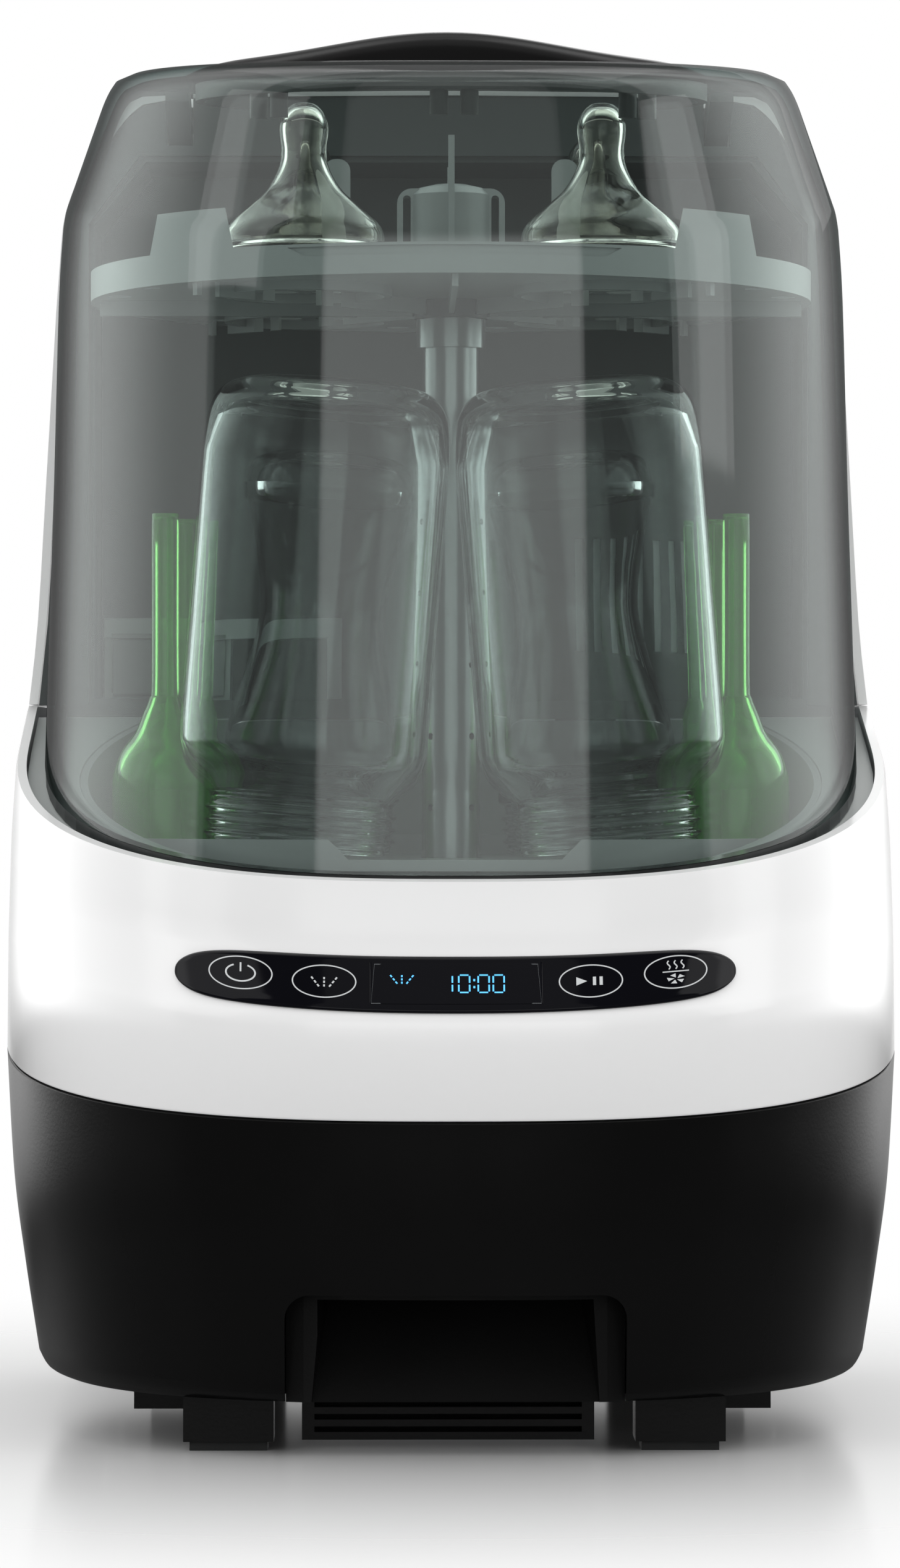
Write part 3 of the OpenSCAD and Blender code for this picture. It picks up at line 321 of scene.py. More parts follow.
def glowing(name, colour, strength):
    """A lit display segment: emission broken up by faint noise."""
    material, tree = new_material(name)
    shader = tree.nodes["Principled BSDF"]
    darker = tuple(c * 0.9 for c in colour)
    tone = two_tone(tree, noise_of(tree, 400), darker, colour)
    link(tree, tone, shader.inputs["Base Color"])
    link(tree, tone, shader.inputs["Emission Color"])
    shader.inputs["Emission Strength"].default_value = strength
    return material


def place_nodes(tree):
    """The x, y and z sockets of a place in the object's own space, in metres."""
    coord = tree.nodes.new("ShaderNodeTexCoord")
    split = tree.nodes.new("ShaderNodeSeparateXYZ")
    link(tree, coord.outputs["Object"], split.inputs[0])
    return split.outputs


def recolour(material, mask, colour):
    """Lays a second colour over a plastic where the mask is 1."""
    tree = material.node_tree
    base = tree.nodes["Principled BSDF"].inputs["Base Color"]
    blend = tree.nodes.new("ShaderNodeMix")
    blend.data_type = "RGBA"
    blend.inputs["B"].default_value = (*colour, 1)
    link(tree, base.links[0].from_socket, blend.inputs["A"])
    link(tree, mask, blend.inputs["Factor"])
    link(tree, blend.outputs["Result"], base)
    return material


HUB_EDGE = (0.0128, 0.0134)


def upper_rack_look():
    """Grey plastic, dark on the hub that grips the tower."""
    material = plastic("upper_rack_grey", (0.42, 0.435, 0.435), 0.32, relief=0.02)
    tree = material.node_tree
    place = place_nodes(tree)
    tower_low, tower_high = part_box("spray_tower")
    tower_y = (tower_low.y + tower_high.y) / 2
    across = math_node(tree, "POWER", place["X"], 2.0)
    along = math_node(tree, "POWER", math_node(tree, "SUBTRACT", place["Y"], tower_y), 2.0)
    radius = math_node(tree, "SQRT", math_node(tree, "ADD", across, along))
    on_hub = range_node(tree, radius, HUB_EDGE, (1, 0))
    return recolour(material, on_hub, (0.07, 0.08, 0.08))


def bezel_with_painted_light():
    """Grey plastic, dark inside the chamber, its outer border painted lighter towards the top: painted light
    from above, with painted shade lower down.
    """
    material = plastic("bezel_grey_painted_light", (0.06, 0.07, 0.07), 0.4, relief=0.02, spread=0.12)
    low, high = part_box("housing_bezel")
    tree = material.node_tree
    place = place_nodes(tree)
    height = range_node(tree, place["Z"], (low.z + (high.z - low.z) * 0.25, high.z), (0, 1))
    side = math_node(tree, "ABSOLUTE", place["X"])
    border = range_node(tree, side, (high.x * 0.86, high.x * 0.9), (0, 1))
    # Painted light: the height ramp lightens the border's top and leaves it in painted shade towards the
    # foot.
    return recolour(material, math_node(tree, "MULTIPLY", height, border), (0.5, 0.52, 0.52))


def make_materials():
    """Every material, under the short name that pieces use."""
    return {
        "white": plastic("white_gloss", (0.93, 0.93, 0.93), 0.18, relief=0.008, coat=0.1, spread=0.015),
        "black": plastic("black_satin", (0.0055, 0.0055, 0.0055), 0.22, relief=0.04, spread=0.2,
                         specular=0.1),
        "black_matt": plastic("black_matt", (0.004, 0.004, 0.004), 0.5, relief=0.1, spread=0.2,
                              specular=0.15),
        "gloss_black": plastic("gloss_black", (0.004, 0.004, 0.006), 0.06, relief=0.004, spread=0.2,
                               specular=0.16),
        "rubber": plastic("rubber", (0.012, 0.013, 0.013), 0.7, grain=1500, relief=0.2, spread=0.2),
        "seal": plastic("seal", (0.012, 0.016, 0.016), 0.45, grain=1500, relief=0.1, spread=0.2),
        "rack": plastic("rack_grey", (0.42, 0.435, 0.435), 0.32, relief=0.02),
        "hub_rack": upper_rack_look(),
        "ring": plastic("ring_grey", (0.03, 0.036, 0.035), 0.4, relief=0.02, specular=0.2),
        "tower": plastic("tower_metal", (0.34, 0.355, 0.355), 0.22, grain=2200, relief=0.01, metallic=0.7),
        "bezel": bezel_with_painted_light(),
        "light": plastic("light_grey", (0.6, 0.62, 0.62), 0.3, relief=0.02),
        "dark": plastic("chamber_dark", (0.055, 0.065, 0.064), 0.4, relief=0.04, spread=0.12),
        "tub": plastic("tub_grey", (0.36, 0.39, 0.38), 0.35, relief=0.03),
        "deck": plastic("deck_grey", (0.42, 0.45, 0.44), 0.35, relief=0.03),
        "lid": plastic("lid_grey", (0.25, 0.27, 0.27), 0.35, relief=0.03),
        "steel": plastic("steel", (0.6, 0.6, 0.6), 0.3, grain=2200, relief=0.03, metallic=1.0),
        "copper": plastic("heater", (0.55, 0.33, 0.22), 0.35, grain=1800, relief=0.03, metallic=1.0),
        "board": plastic("board", (0.01, 0.12, 0.05), 0.5, grain=500, relief=0.15, spread=0.3),
        "filter": plastic("filter_paper", (0.78, 0.78, 0.72), 0.9, grain=2600, relief=0.4),
        "print": plastic("print_grey", (0.66, 0.68, 0.69), 0.4, relief=0.01),
        "faint_print": plastic("print_faint", (0.16, 0.17, 0.18), 0.4, relief=0.01),
        "blue": glowing("display_blue", (0.1, 0.5, 0.95), 0.75),
        "hood": clear_pane("hood_tint", (0.785, 0.828, 0.815), haze=0.012, reflection=0.05,
                           edge_tint=(0.1, 0.135, 0.13), edge_reflection=0.16),
        "hood_edge": plastic("hood_edge", (0.03, 0.042, 0.04), 0.2, relief=0.01, coat=0.3),
        "bottle": glass("bottle_clear", (0.95, 0.975, 0.97), ior=1.3),
        "teat": glass("teat_silicone", (0.97, 0.965, 0.9), roughness=0.03, ior=1.3, waviness=0.1),
        "green": glass("vent_green", (0.4, 0.93, 0.3), roughness=0.05, ior=1.4, clearness=0.84),
        "tank": clear_pane("tank_clear", (0.72, 0.78, 0.8), gloss=0.06, haze=0.12,
                           haze_colour=(0.7, 0.76, 0.78)),
        "waste": clear_pane("waste_clear", (0.5, 0.53, 0.54), gloss=0.06, haze=0.14,
                            haze_colour=(0.35, 0.38, 0.39)),
    }


materials = make_materials()
make_camera()
make_world()
make_lights()
make_floor()


# ---- Mesh building ----

CREASE = 32


def add_piece(name, points, faces, material, body="casing", nodes=(), crease=CREASE, slots=()):
    """A mesh piece, smooth but for edges sharper than crease degrees, riding on a body."""
    mesh = bpy.data.meshes.new(name)
    mesh.from_pydata([tuple(p) for p in points], [], faces)
    mesh.materials.append(materials[material])
    for extra in slots:
        mesh.materials.append(materials[extra])
    mesh.validate()
    shape = bmesh.new()
    shape.from_mesh(mesh)
    bmesh.ops.remove_doubles(shape, verts=shape.verts, dist=1e-6)
    bmesh.ops.recalc_face_normals(shape, faces=shape.faces)
    shape.to_mesh(mesh)
    shape.free()
    mesh.shade_smooth()
    mesh.set_sharp_from_angle(angle=math.radians(crease))
    piece = new_object(name, mesh)
    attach(piece, body)
    if nodes:
        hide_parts(*nodes)
    return piece


def grid_faces(rows, columns, closed_columns=True, closed_rows=False):
    """Quads between rows of points that lie one after another."""
    last_column = columns if closed_columns else columns - 1
    last_row = rows if closed_rows else rows - 1
    return [(j * columns + i, j * columns + (i + 1) % columns,
             (j + 1) % rows * columns + (i + 1) % columns, (j + 1) % rows * columns + i)
            for j in range(last_row) for i in range(last_column)]


def signed_pow(value, power):
    """A power of the size of a number that keeps its sign."""
    return math.copysign(abs(value) ** power, value)


def mix(a, b, t):
    """The row at share t of the way from row a to row b."""
    return [p + (q - p) * t for p, q in zip(a, b)]


CORNER_STEPS = 8


def rounded(rows, reach):
    """Rounds the corner at each row named in reach {row index: (share before, share after)}."""
    out = []
    for i, row in enumerate(rows):
        if i not in reach:
            out.append(row)
            continue
        before = mix(row, rows[i - 1], reach[i][0])
        after = mix(row, rows[i + 1], reach[i][1])
        for k in range(CORNER_STEPS + 1):
            t = k / CORNER_STEPS
            out.append(mix(mix(before, row, t), mix(row, after, t), t))
    return out


def smooth_rows(rows, per=6):
    """Catmull-Rom rows through the given ones."""
    out = []
    for i in range(len(rows) - 1):
        p0, p1, p2, p3 = rows[max(0, i - 1)], rows[i], rows[i + 1], rows[min(len(rows) - 1, i + 2)]
        for k in range(per):
            t = k / per
            out.append([0.5 * (2 * b + (c - a) * t + (2 * a - 5 * b + 4 * c - d) * t * t
                               + (3 * b - a - 3 * c + d) * t ** 3) for a, b, c, d in zip(p0, p1, p2, p3)])
    out.append(rows[-1])
    return out


# ---- The casing's outline, as in the CAD: front half round y = 0, rear half round SPLIT_Y ----

band_low, band_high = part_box("middle_band")
HALF_W = (band_high.x - band_low.x) / 2 / MM
FRONT_LEN = -band_low.y / MM
SPLIT_Y = 45
REAR_LEN = band_high.y / MM - SPLIT_Y
FRONT_POWER, REAR_POWER = 2.65, 4
LIP_Z, LIP_SLOPE = 228.4, 0.29
REAR_LIP_Z = LIP_Z + LIP_SLOPE * SPLIT_Y
SEAM_Z, SEAM_SLOPE = 130, 0.128
WALL = 3
FRONT_STEPS, REAR_STEPS = 144, 96


def eased(steps):
    """Angles from 0 to 180 degrees, closer together near 0, 90 and 180, where a superellipse
    spreads its points."""
    return [math.pi * (i / steps - 0.045 * math.sin(4 * math.pi * i / steps)) for i in range(steps + 1)]


def front_arc(a, b):
    """The front half of a superellipse of half width a and depth b, from right to left."""
    return [(a * signed_pow(math.cos(t), 2 / FRONT_POWER), -b * max(0.0, math.sin(t)) ** (2 / FRONT_POWER))
            for t in eased(FRONT_STEPS)]


def rear_arc(a, b):
    """The rear half, behind SPLIT_Y, from left to right."""
    return [(a * signed_pow(math.cos(t), 2 / REAR_POWER),
             SPLIT_Y + b * max(0.0, math.sin(t)) ** (2 / REAR_POWER))
            for t in reversed(eased(REAR_STEPS))]


def ring(row, inset=0.0):
    """One ring of a casing row: side, front and rear inset, height at y = 0 and slope."""
    side, front, rear, z, slope = row
    a = HALF_W - side - inset
    points = front_arc(a, FRONT_LEN - front - inset) + rear_arc(a, REAR_LEN - rear - inset)
    return [Vector((x, y, z + slope * min(y, SPLIT_Y))) * MM for x, y in points]


def casing_loop(name, rows, material, nodes, crease=40):
    """A closed band of casing wall: up the outside, down the inside."""
    rings = [ring(row) for row in rows] + [ring(row, WALL) for row in reversed(rows[::3] + [rows[-1]])]
    points = [p for r in rings for p in r]
    return add_piece(name, points, grid_faces(len(rings), len(rings[0]), closed_rows=True), material,
                     nodes=nodes, crease=crease)


# ---- Base ----

BASE_CLEAR = 18
# Rows of the casing are as in ring(), from the lowest up.
BASE_ROWS = [
    [17, 22, 20, BASE_CLEAR, 0],
    [13, 18, 16, BASE_CLEAR + 2, 0],
    [10.5, 15, 13, BASE_CLEAR + 6.5, 0],
    [6, 8, 7, 55, 0.02],
    [2.3, 3.2, 3, 86, 0.06],
    [0, 0.6, 0, SEAM_Z - 0.4, SEAM_SLOPE],
]


def cut(piece, cutters):
    """Cuts closed shapes out of a piece and removes them."""
    for cutter in cutters:
        modifier = piece.modifiers.new("cut", "BOOLEAN")
        modifier.object = cutter
        modifier.operation = "DIFFERENCE"
        modifier.solver = "EXACT"
    graph = bpy.context.evaluated_depsgraph_get()
    mesh = bpy.data.meshes.new_from_object(piece.evaluated_get(graph))
    piece.modifiers.clear()
    piece.data = mesh
    mesh.set_sharp_from_angle(angle=math.radians(CREASE))
    for cutter in cutters:
        bpy.data.objects.remove(cutter)


def prism(name, outline, y0, y1):
    """A closed prism along Y from an (x, z) outline, in millimetres, used as a cutter."""
    count = len(outline)
    points = [Vector((x, y, z)) * MM for y in (y0, y1) for x, z in outline]
    faces = [tuple(range(count)), tuple(range(2 * count - 1, count - 1, -1))]
    faces += [(i, i + count, (i + 1) % count + count, (i + 1) % count) for i in range(count)]
    mesh = bpy.data.meshes.new(name)
    mesh.from_pydata([tuple(p) for p in points], [], faces)
    shape = bmesh.new()
    shape.from_mesh(mesh)
    bmesh.ops.recalc_face_normals(shape, faces=shape.faces)
    shape.to_mesh(mesh)
    shape.free()
    return new_object(name, mesh)


def rounded_box_outline(x0, x1, z0, z1, radius, rounded_foot=True):
    """An (x, z) rectangle with rounded corners, the lower ones square if asked."""
    out = []
    corners = [(x1 - radius, z1 - radius, 0), (x0 + radius, z1 - radius, 90)]
    if rounded_foot:
        corners += [(x0 + radius, z0 + radius, 180), (x1 - radius, z0 + radius, 270)]
    for cx, cz, start in corners:
        for k in range(CORNER_STEPS + 1):
            t = math.radians(start + 90 * k / CORNER_STEPS)
            out.append((cx + radius * math.cos(t), cz + radius * math.sin(t)))
    if not rounded_foot:
        out += [(x0, z0), (x1, z0)]
    return out


def hole_outline(node, gap, radius):
    """The outline of a hole that clears a CAD node by gap all round, in millimetres."""
    low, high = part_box(node)
    return rounded_box_outline(low.x / MM - gap, high.x / MM + gap, low.z / MM - gap, high.z / MM + gap,
                               radius)


def make_base():
    """The black lower casing, with holes for the grip recess, the filter door and the inlet."""
    rows = smooth_rows(BASE_ROWS[:3], 4)[:-1] + smooth_rows(BASE_ROWS[2:], 8)
    rows += [[0.5, 1.1, 0.5, SEAM_Z - 0.1, SEAM_SLOPE]]
    base = casing_loop("base_skin", rows, "black", ["base_shell"])
    grip_low, grip_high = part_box("grip_insert")
    gap, below_casing = 0.3, 10
    grip_hole = rounded_box_outline(grip_low.x / MM - gap, grip_high.x / MM + gap, below_casing,
                                    grip_high.z / MM + gap, 8, rounded_foot=False)
    rear_wall = (130, 190)
    cut(base, [
        prism("cut_grip", grip_hole, -190, -110),
        prism("cut_door", hole_outline("filter_cover", 0.5, 2), *rear_wall),
        prism("cut_inlet", hole_outline("power_inlet", 0.3, 2), *rear_wall),
    ])


# ---- White band and the control face on it ----

LOW_CREASE = [0.4, 0, 0.5, 171, 0.18]
HIGH_CREASE = [1.2, 14, 1.2, 204.9, 0.26]
BAND_ROWS = [
    [0.6, 1.2, 0.6, SEAM_Z + 0.4, SEAM_SLOPE],
    [0, 0.6, 0, SEAM_Z + 1.2, SEAM_SLOPE],
    LOW_CREASE,
    HIGH_CREASE,
    [2.6, 17.3, 2, LIP_Z - 2, LIP_SLOPE],
    [3.2, 17.9, 2.6, LIP_Z, LIP_SLOPE],
]


def make_band():
    """The white band, with the sloping control face between its two creases."""
    rows = rounded(BAND_ROWS, {2: (0.1, 0.1), 3: (0.12, 0.3)})
    casing_loop("white_band", rows, "white", ["middle_band"], crease=50)


def row_point(row, x):
    """The point of a casing row's front half at x, in millimetres."""
    a, b = HALF_W - row[0], FRONT_LEN - row[1]
    y = -b * (1 - (abs(x) / a) ** FRONT_POWER) ** (1 / FRONT_POWER)
    return Vector((x, y, row[3] + row[4] * y))


def face_point(x, u, lift):
    """A point of the control face: x across, u from the low crease to the high one."""
    low, high = row_point(LOW_CREASE, x), row_point(HIGH_CREASE, x)
    across = row_point(LOW_CREASE, x + 0.5) - row_point(LOW_CREASE, x - 0.5)
    normal = across.cross(high - low).normalized()
    return (low.lerp(high, u) + normal * lift) * MM


def on_face(x, s, lift):
    """A point of the control face at s millimetres up the slope from its middle."""
    height = (row_point(HIGH_CREASE, x) - row_point(LOW_CREASE, x)).length
    return face_point(x, 0.5 + s / height, lift)


PANEL_HALF_W = 88.5


def panel_edge(k, upper):
    """Share of the control face's height where the panel ends, k from -1 to 1 across it."""
    low = 0.1 + 0.115 * k * k
    high = 0.83 + 0.025 * k * k
    middle = low + (high - low) * 0.4
    share = max(0.0, 1 - abs(k) ** (9 if upper else 15)) ** 0.5
    return middle + ((high if upper else low) - middle) * share


def face_sheet(name, half, low_of, high_of, lift, thickness, material, nodes, columns=160, rows=10,
               edge=0.35):
    """A plate that follows the control face, its edge rounded over."""
    points, inner = [], []
    for i in range(columns + 1):
        k = -math.cos(math.pi * i / columns)
        low, high = low_of(k), high_of(k)
        for j in range(rows + 1):
            v = 0.5 - 0.5 * math.cos(math.pi * j / rows)
            # 0 on the plate's edge, 1 where the rounding ends.
            inward = min(1 - abs(k), 0.02) / 0.02 * min(v, 1 - v, 0.05) / 0.05
            drop = edge * (1 - math.sqrt(max(0.0, 1 - (1 - inward) ** 2)))
            points.append(face_point(k * half, low + (high - low) * v, lift - drop))
            inner.append(face_point(k * half, low + (high - low) * v, lift - thickness))
    n, m = rows + 1, columns + 1
    count = n * m
    faces = [(i * n + j, (i + 1) * n + j, (i + 1) * n + j + 1, i * n + j + 1)
             for i in range(m - 1) for j in range(n - 1)]
    faces += [tuple(count + v for v in reversed(f)) for f in faces]
    rim = ([i * n for i in range(m)] + [(m - 1) * n + j for j in range(1, n)]
           + [i * n + rows for i in range(m - 2, -1, -1)] + list(range(rows - 1, 0, -1)))
    faces += [(a, b, count + b, count + a) for a, b in zip(rim, rim[1:] + rim[:1])]
    return add_piece(name, points + inner, faces, material, nodes=nodes, crease=60)


def make_panel():
    """The black touch panel and the display glass on it."""
    face_sheet("touch_panel", PANEL_HALF_W, lambda k: panel_edge(k, False), lambda k: panel_edge(k, True),
               1.2, 1.1, "gloss_black", ["control_panel"])
    face_sheet("display_glass", 27, lambda k: 0.2, lambda k: 0.74, 1.45, 0.2, "gloss_black",
               ["display_window"], columns=40, rows=6, edge=0.1)


# ---- Printed keys and lit display, drawn as thin strips on the panel ----

PRINT_LIFT, OUTLINE_LIFT, LIT_LIFT = 1.3, 1.5, 1.55


def strip(lift, path, width, closed=False):
    """Points and quads of a flat stroke along a path of (x, s) places."""
    count = len(path)
    points = []
    for i, (x, s) in enumerate(path):
        before = path[(i - 1) % count] if closed or i > 0 else path[i]
        after = path[(i + 1) % count] if closed or i < count - 1 else path[i]
        dx, ds = after[0] - before[0], after[1] - before[1]
        size = math.hypot(dx, ds) or 1
        nx, ns = -ds / size * width / 2, dx / size * width / 2
        points += [on_face(x + nx, s + ns, lift), on_face(x - nx, s - ns, lift)]
    steps = count if closed else count - 1
    faces = [(2 * i, 2 * i + 1, (2 * i + 3) % (2 * count), (2 * i + 2) % (2 * count)) for i in range(steps)]
    return points, faces


def patch(lift, corners):
    """A flat filled shape with corners at (x, s) places."""
    return [on_face(x, s, lift) for x, s in corners], [tuple(range(len(corners)))]


def ellipse(cx, cs, rx, rs, start=0, stop=360, steps=48):
    """A path round (cx, cs), without its last point where it closes on its first."""
    return [(cx + rx * math.cos(math.radians(start + (stop - start) * i / steps)),
             cs + rs * math.sin(math.radians(start + (stop - start) * i / steps)))
            for i in range(steps + (0 if stop - start == 360 else 1))]


def dashes(x0, s0, x1, s1, count, fill=0.6):
    """Short dashes along a straight line."""
    out = []
    for i in range(count):
        a, b = i / count, (i + fill) / count
        out.append([(x0 + (x1 - x0) * a, s0 + (s1 - s0) * a), (x0 + (x1 - x0) * b, s0 + (s1 - s0) * b)])
    return out


def print_marks(name, strokes, patches, material, lift=PRINT_LIFT):
    """One printed piece: strokes are (path, width) or (path, width, closed), patches are corners."""
    points, faces = [], []
    shapes = [strip(lift, *stroke) for stroke in strokes] + [patch(lift, corners) for corners in patches]
    for shape_points, shape_faces in shapes:
        faces += [tuple(len(points) + v for v in face) for face in shape_faces]
        points += shape_points
    add_piece(name, points, faces, material)


KEY_RX, KEY_RS = 9.9, 5.7
LINE, FINE_LINE, DIGIT_LINE, OUTLINE_LINE = 0.55, 0.42, 0.5, 0.2


def key_ring(x, s):
    return (ellipse(x, s, KEY_RX, KEY_RS, steps=72), FINE_LINE, True)


def spray_icon(x, s, scale=1.0):
    """Three dashed rays that spread upwards."""
    strokes = []
    for lean in (-1, 0, 1):
        for dash in dashes(x + lean * 1.6 * scale, s - 1.9 * scale, x + lean * 4.4 * scale, s + 2 * scale, 3):
            strokes.append((dash, LINE * scale))
    return strokes


def make_power_key(x, s):
    """A broken ring with an upright stroke."""
    strokes = [key_ring(x, s), (ellipse(x, s, 4.6, 3, 118, 422, 40), LINE),
               ([(x, s + 0.4), (x, s + 3.6)], LINE)]
    print_marks("key_power", strokes, [], "print")


def make_spray_key(x, s):
    print_marks("key_spray", [key_ring(x, s)] + spray_icon(x, s), [], "print")


def make_start_key(x, s):
    """A triangle and two bars."""
    triangle = [(x - 4.6, s - 1.5), (x - 1.2, s), (x - 4.6, s + 1.5)]
    bars = [[(x + d, s - 1.5), (x + d + 1, s - 1.5), (x + d + 1, s + 1.5), (x + d, s + 1.5)]
            for d in (0.6, 2.7)]
    print_marks("key_start", [key_ring(x, s)], [triangle] + bars, "print")


def make_dry_key(x, s):
    """Three waves over a line and a small fan."""
    strokes = [key_ring(x, s), ([(x - 4.2, s + 0.2), (x + 4.2, s + 0.2)], 0.4)]
    for dx in (-2.2, 0, 2.2):
        wave = [(x + dx + 0.45 * math.sin(k / 10 * 2 * math.pi), s + 1.1 + 3 * k / 10) for k in range(11)]
        strokes.append((wave, FINE_LINE))
    blades, blade_count, fan_s = [], 5, s - 2.4
    for i in range(blade_count):
        turn = math.radians(360 / blade_count * i + 20)
        tip = turn + math.radians(42)
        blades.append([(x + 0.5 * math.cos(turn), fan_s + 0.4 * math.sin(turn)),
                       (x + 3 * math.cos(turn), fan_s + 1.9 * math.sin(turn)),
                       (x + 2.6 * math.cos(tip), fan_s + 1.7 * math.sin(tip))])
    print_marks("key_dry", strokes, blades, "print")


def digit_strokes(x, s, width, height, lit):
    """Seven-segment strokes, lower left corner at (x, s)."""
    gap, half = 0.35, height / 2
    ends = {
        "a": [(x + gap, s + height), (x + width - gap, s + height)],
        "b": [(x + width, s + height - gap), (x + width, s + half + gap)],
        "c": [(x + width, s + half - gap), (x + width, s + gap)],
        "d": [(x + gap, s), (x + width - gap, s)],
        "e": [(x, s + half - gap), (x, s + gap)],
        "f": [(x, s + height - gap), (x, s + half + gap)],
        "g": [(x + gap, s + half), (x + width - gap, s + half)],
    }
    return [(ends[name], DIGIT_LINE) for name in lit]


def make_display():
    """A generic lit time, four digits and a colon, beside a small spray icon in a faint outline."""
    width, height, foot = 3.4, 6.2, -4.2
    strokes = digit_strokes(-4.6, foot, width, height, "bc")
    for x in (0.8, 6.9, 11.6):
        strokes += digit_strokes(x, foot, width, height, "abcdef")
    dots = [[(5.35, s), (5.95, s), (5.95, s + 0.8), (5.35, s + 0.8)] for s in (foot + 1.5, foot + 4)]
    strokes += spray_icon(-17, 0.6, 0.9)
    print_marks("display_lit", strokes, dots, "blue", lift=LIT_LIFT)
    outline = [(-26.6, -8.2), (26.6, -8.2), (25.6, 5.8), (-25.6, 5.8)]
    print_marks("display_outline", [(outline, OUTLINE_LINE, True)], [], "faint_print", lift=OUTLINE_LIFT)


def make_keys():
    make_power_key(-67.5, 0.9)
    make_spray_key(-41.3, -0.6)
    make_start_key(42.2, -0.6)
    make_dry_key(69, 0.9)
    make_display()


make_base()
make_band()
make_panel()
make_keys()


# ---- Rear housing and hood: shells open along one upright side ----

def open_shell(name, outer, inner, material, body, nodes, crease=40, edge=None):
    """A wall between two sheets of rows, closed over the top; its rim may have a second material."""
    n, m = len(outer[0]), len(outer)
    points = [p for r in outer for p in r] + [p for r in inner for p in r]
    count = n * m
    faces = grid_faces(m, n, closed_columns=False)
    faces += [tuple(count + v for v in reversed(f)) for f in faces]
    top = (m - 1) * n
    faces += [tuple(top + i for i in range(n)), tuple(count + top + i for i in reversed(range(n)))]
    rim = list(range(n)) + [j * n + n - 1 for j in range(1, m)] + [j * n for j in range(m - 1, 0, -1)]
    faces += [(b, a, count + a, count + b) for a, b in zip(rim, rim[1:] + rim[:1])]
    return add_piece(name, points, faces, material, body, nodes, crease, slots=[edge] if edge else [])


# Each row: side and rear inset, height, and the share of the wall that goes down instead of in.
HOUSING_ROWS = [
    [3.2, 2.6, REAR_LIP_Z + 0.4, 0],
    [6.3, 3.2, 271, 0],
    [9.2, 4, 320, 0],
    [12.8, 4.6, 381, 0],
    [15.3, 5.2, 414, 0.2],
    [23, 12, 432, 0.6],
    [34, 24, 450, 0.9],
    [40, 31, 454.8, 1],
    [52, 42, 457, 1],
    [92, 76, 457.8, 1],
    [138, 112, 458.2, 1],
]


def housing_ring(row, inset):
    side, rear, z, top_share = row
    drop = top_share * WALL if inset else 0
    return [Vector((x, y, z - drop)) * MM
            for x, y in rear_arc(HALF_W - side - inset, REAR_LEN - rear - inset)]


def make_housing():
    """The white rear shell, cut away for the tank bay and for the two hood arms."""
    rows = smooth_rows(HOUSING_ROWS[:4], 3)[:-1] + rounded(HOUSING_ROWS[3:], {1: (0.25, 0.5), 3: (0.4, 0.6)})
    housing = open_shell("rear_shell", [housing_ring(r, 0) for r in rows],
                         [housing_ring(r, WALL) for r in rows], "white", "casing", ["rear_housing"])
    bay_half_w, bay_foot, bay_front, past_rear = 160, 200, 107, 220
    bay_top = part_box("clean_tank_lid")[1].z / MM + 3
    cutters = [prism("cut_tanks", [(-bay_half_w, bay_foot), (bay_half_w, bay_foot), (bay_half_w, bay_top),
                                   (-bay_half_w, bay_top)], bay_front, past_rear)]
    slot_half_w, slot_foot, slot_top, slot_rear = 4.6, 430, 470, 73
    for side in (-1, 1):
        middle = side * (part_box("hood_arms")[1].x / MM - 4)
        left, right = middle - slot_half_w, middle + slot_half_w
        cutters.append(prism("cut_arm", [(left, slot_foot), (right, slot_foot), (right, slot_top),
                                         (left, slot_top)], SPLIT_Y - 1, slot_rear))
    cut(housing, cutters)


HOOD_WALL = 3.2
HOOD_SIDE_STEPS = 10
HOOD_END_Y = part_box("hood_shell")[1].y / MM
ROOF_SLOPE = 0.067
# Each row: side and front inset, height at y = 0, slope, and the shares of the wall that go in and down.
HOOD_ROWS = [
    [12.4, 21.6, LIP_Z + 0.8, LIP_SLOPE, 1, 0],
    [14, 21.6, 275, 0.16, 1, 0],
    [15.5, 21.6, 320, 0.12, 1, 0],
    [17.1, 21.8, 380, 0.12, 1, 0],
    [18.6, 22.6, 405, 0.13, 1, 0],
    [19.4, 23.6, 410.5, 0.13, 1, 0.1],
    [22.2, 28, 418, 0.11, 1, 0.2],
    [33, 41, 448, 0.07, 1, 0.5],
    [36, 45.4, 452.4, ROOF_SLOPE, 0.9, 0.9],
    [41, 51, 454.6, ROOF_SLOPE, 0.6, 1],
    [60, 72, 455.6, ROOF_SLOPE, 0.3, 1],
    [100, 118, 456.4, ROOF_SLOPE, 0, 1],
    [136, 158, 456.8, ROOF_SLOPE, 0, 1],
]


def hood_ring(row, wall):
    """One ring of a hood row, from the right rear edge round the front to the left."""
    side, front, z, slope, side_share, top_share = row
    a, b = HALF_W - side - wall * side_share, FRONT_LEN - front - wall * side_share
    right = [(a, HOOD_END_Y * (1 - i / HOOD_SIDE_STEPS)) for i in range(HOOD_SIDE_STEPS)]
    left = [(-x, y) for x, y in reversed(right)]
    return [Vector((x, y, z + slope * min(y, SPLIT_Y) - wall * top_share)) * MM
            for x, y in right + front_arc(a, b) + left]


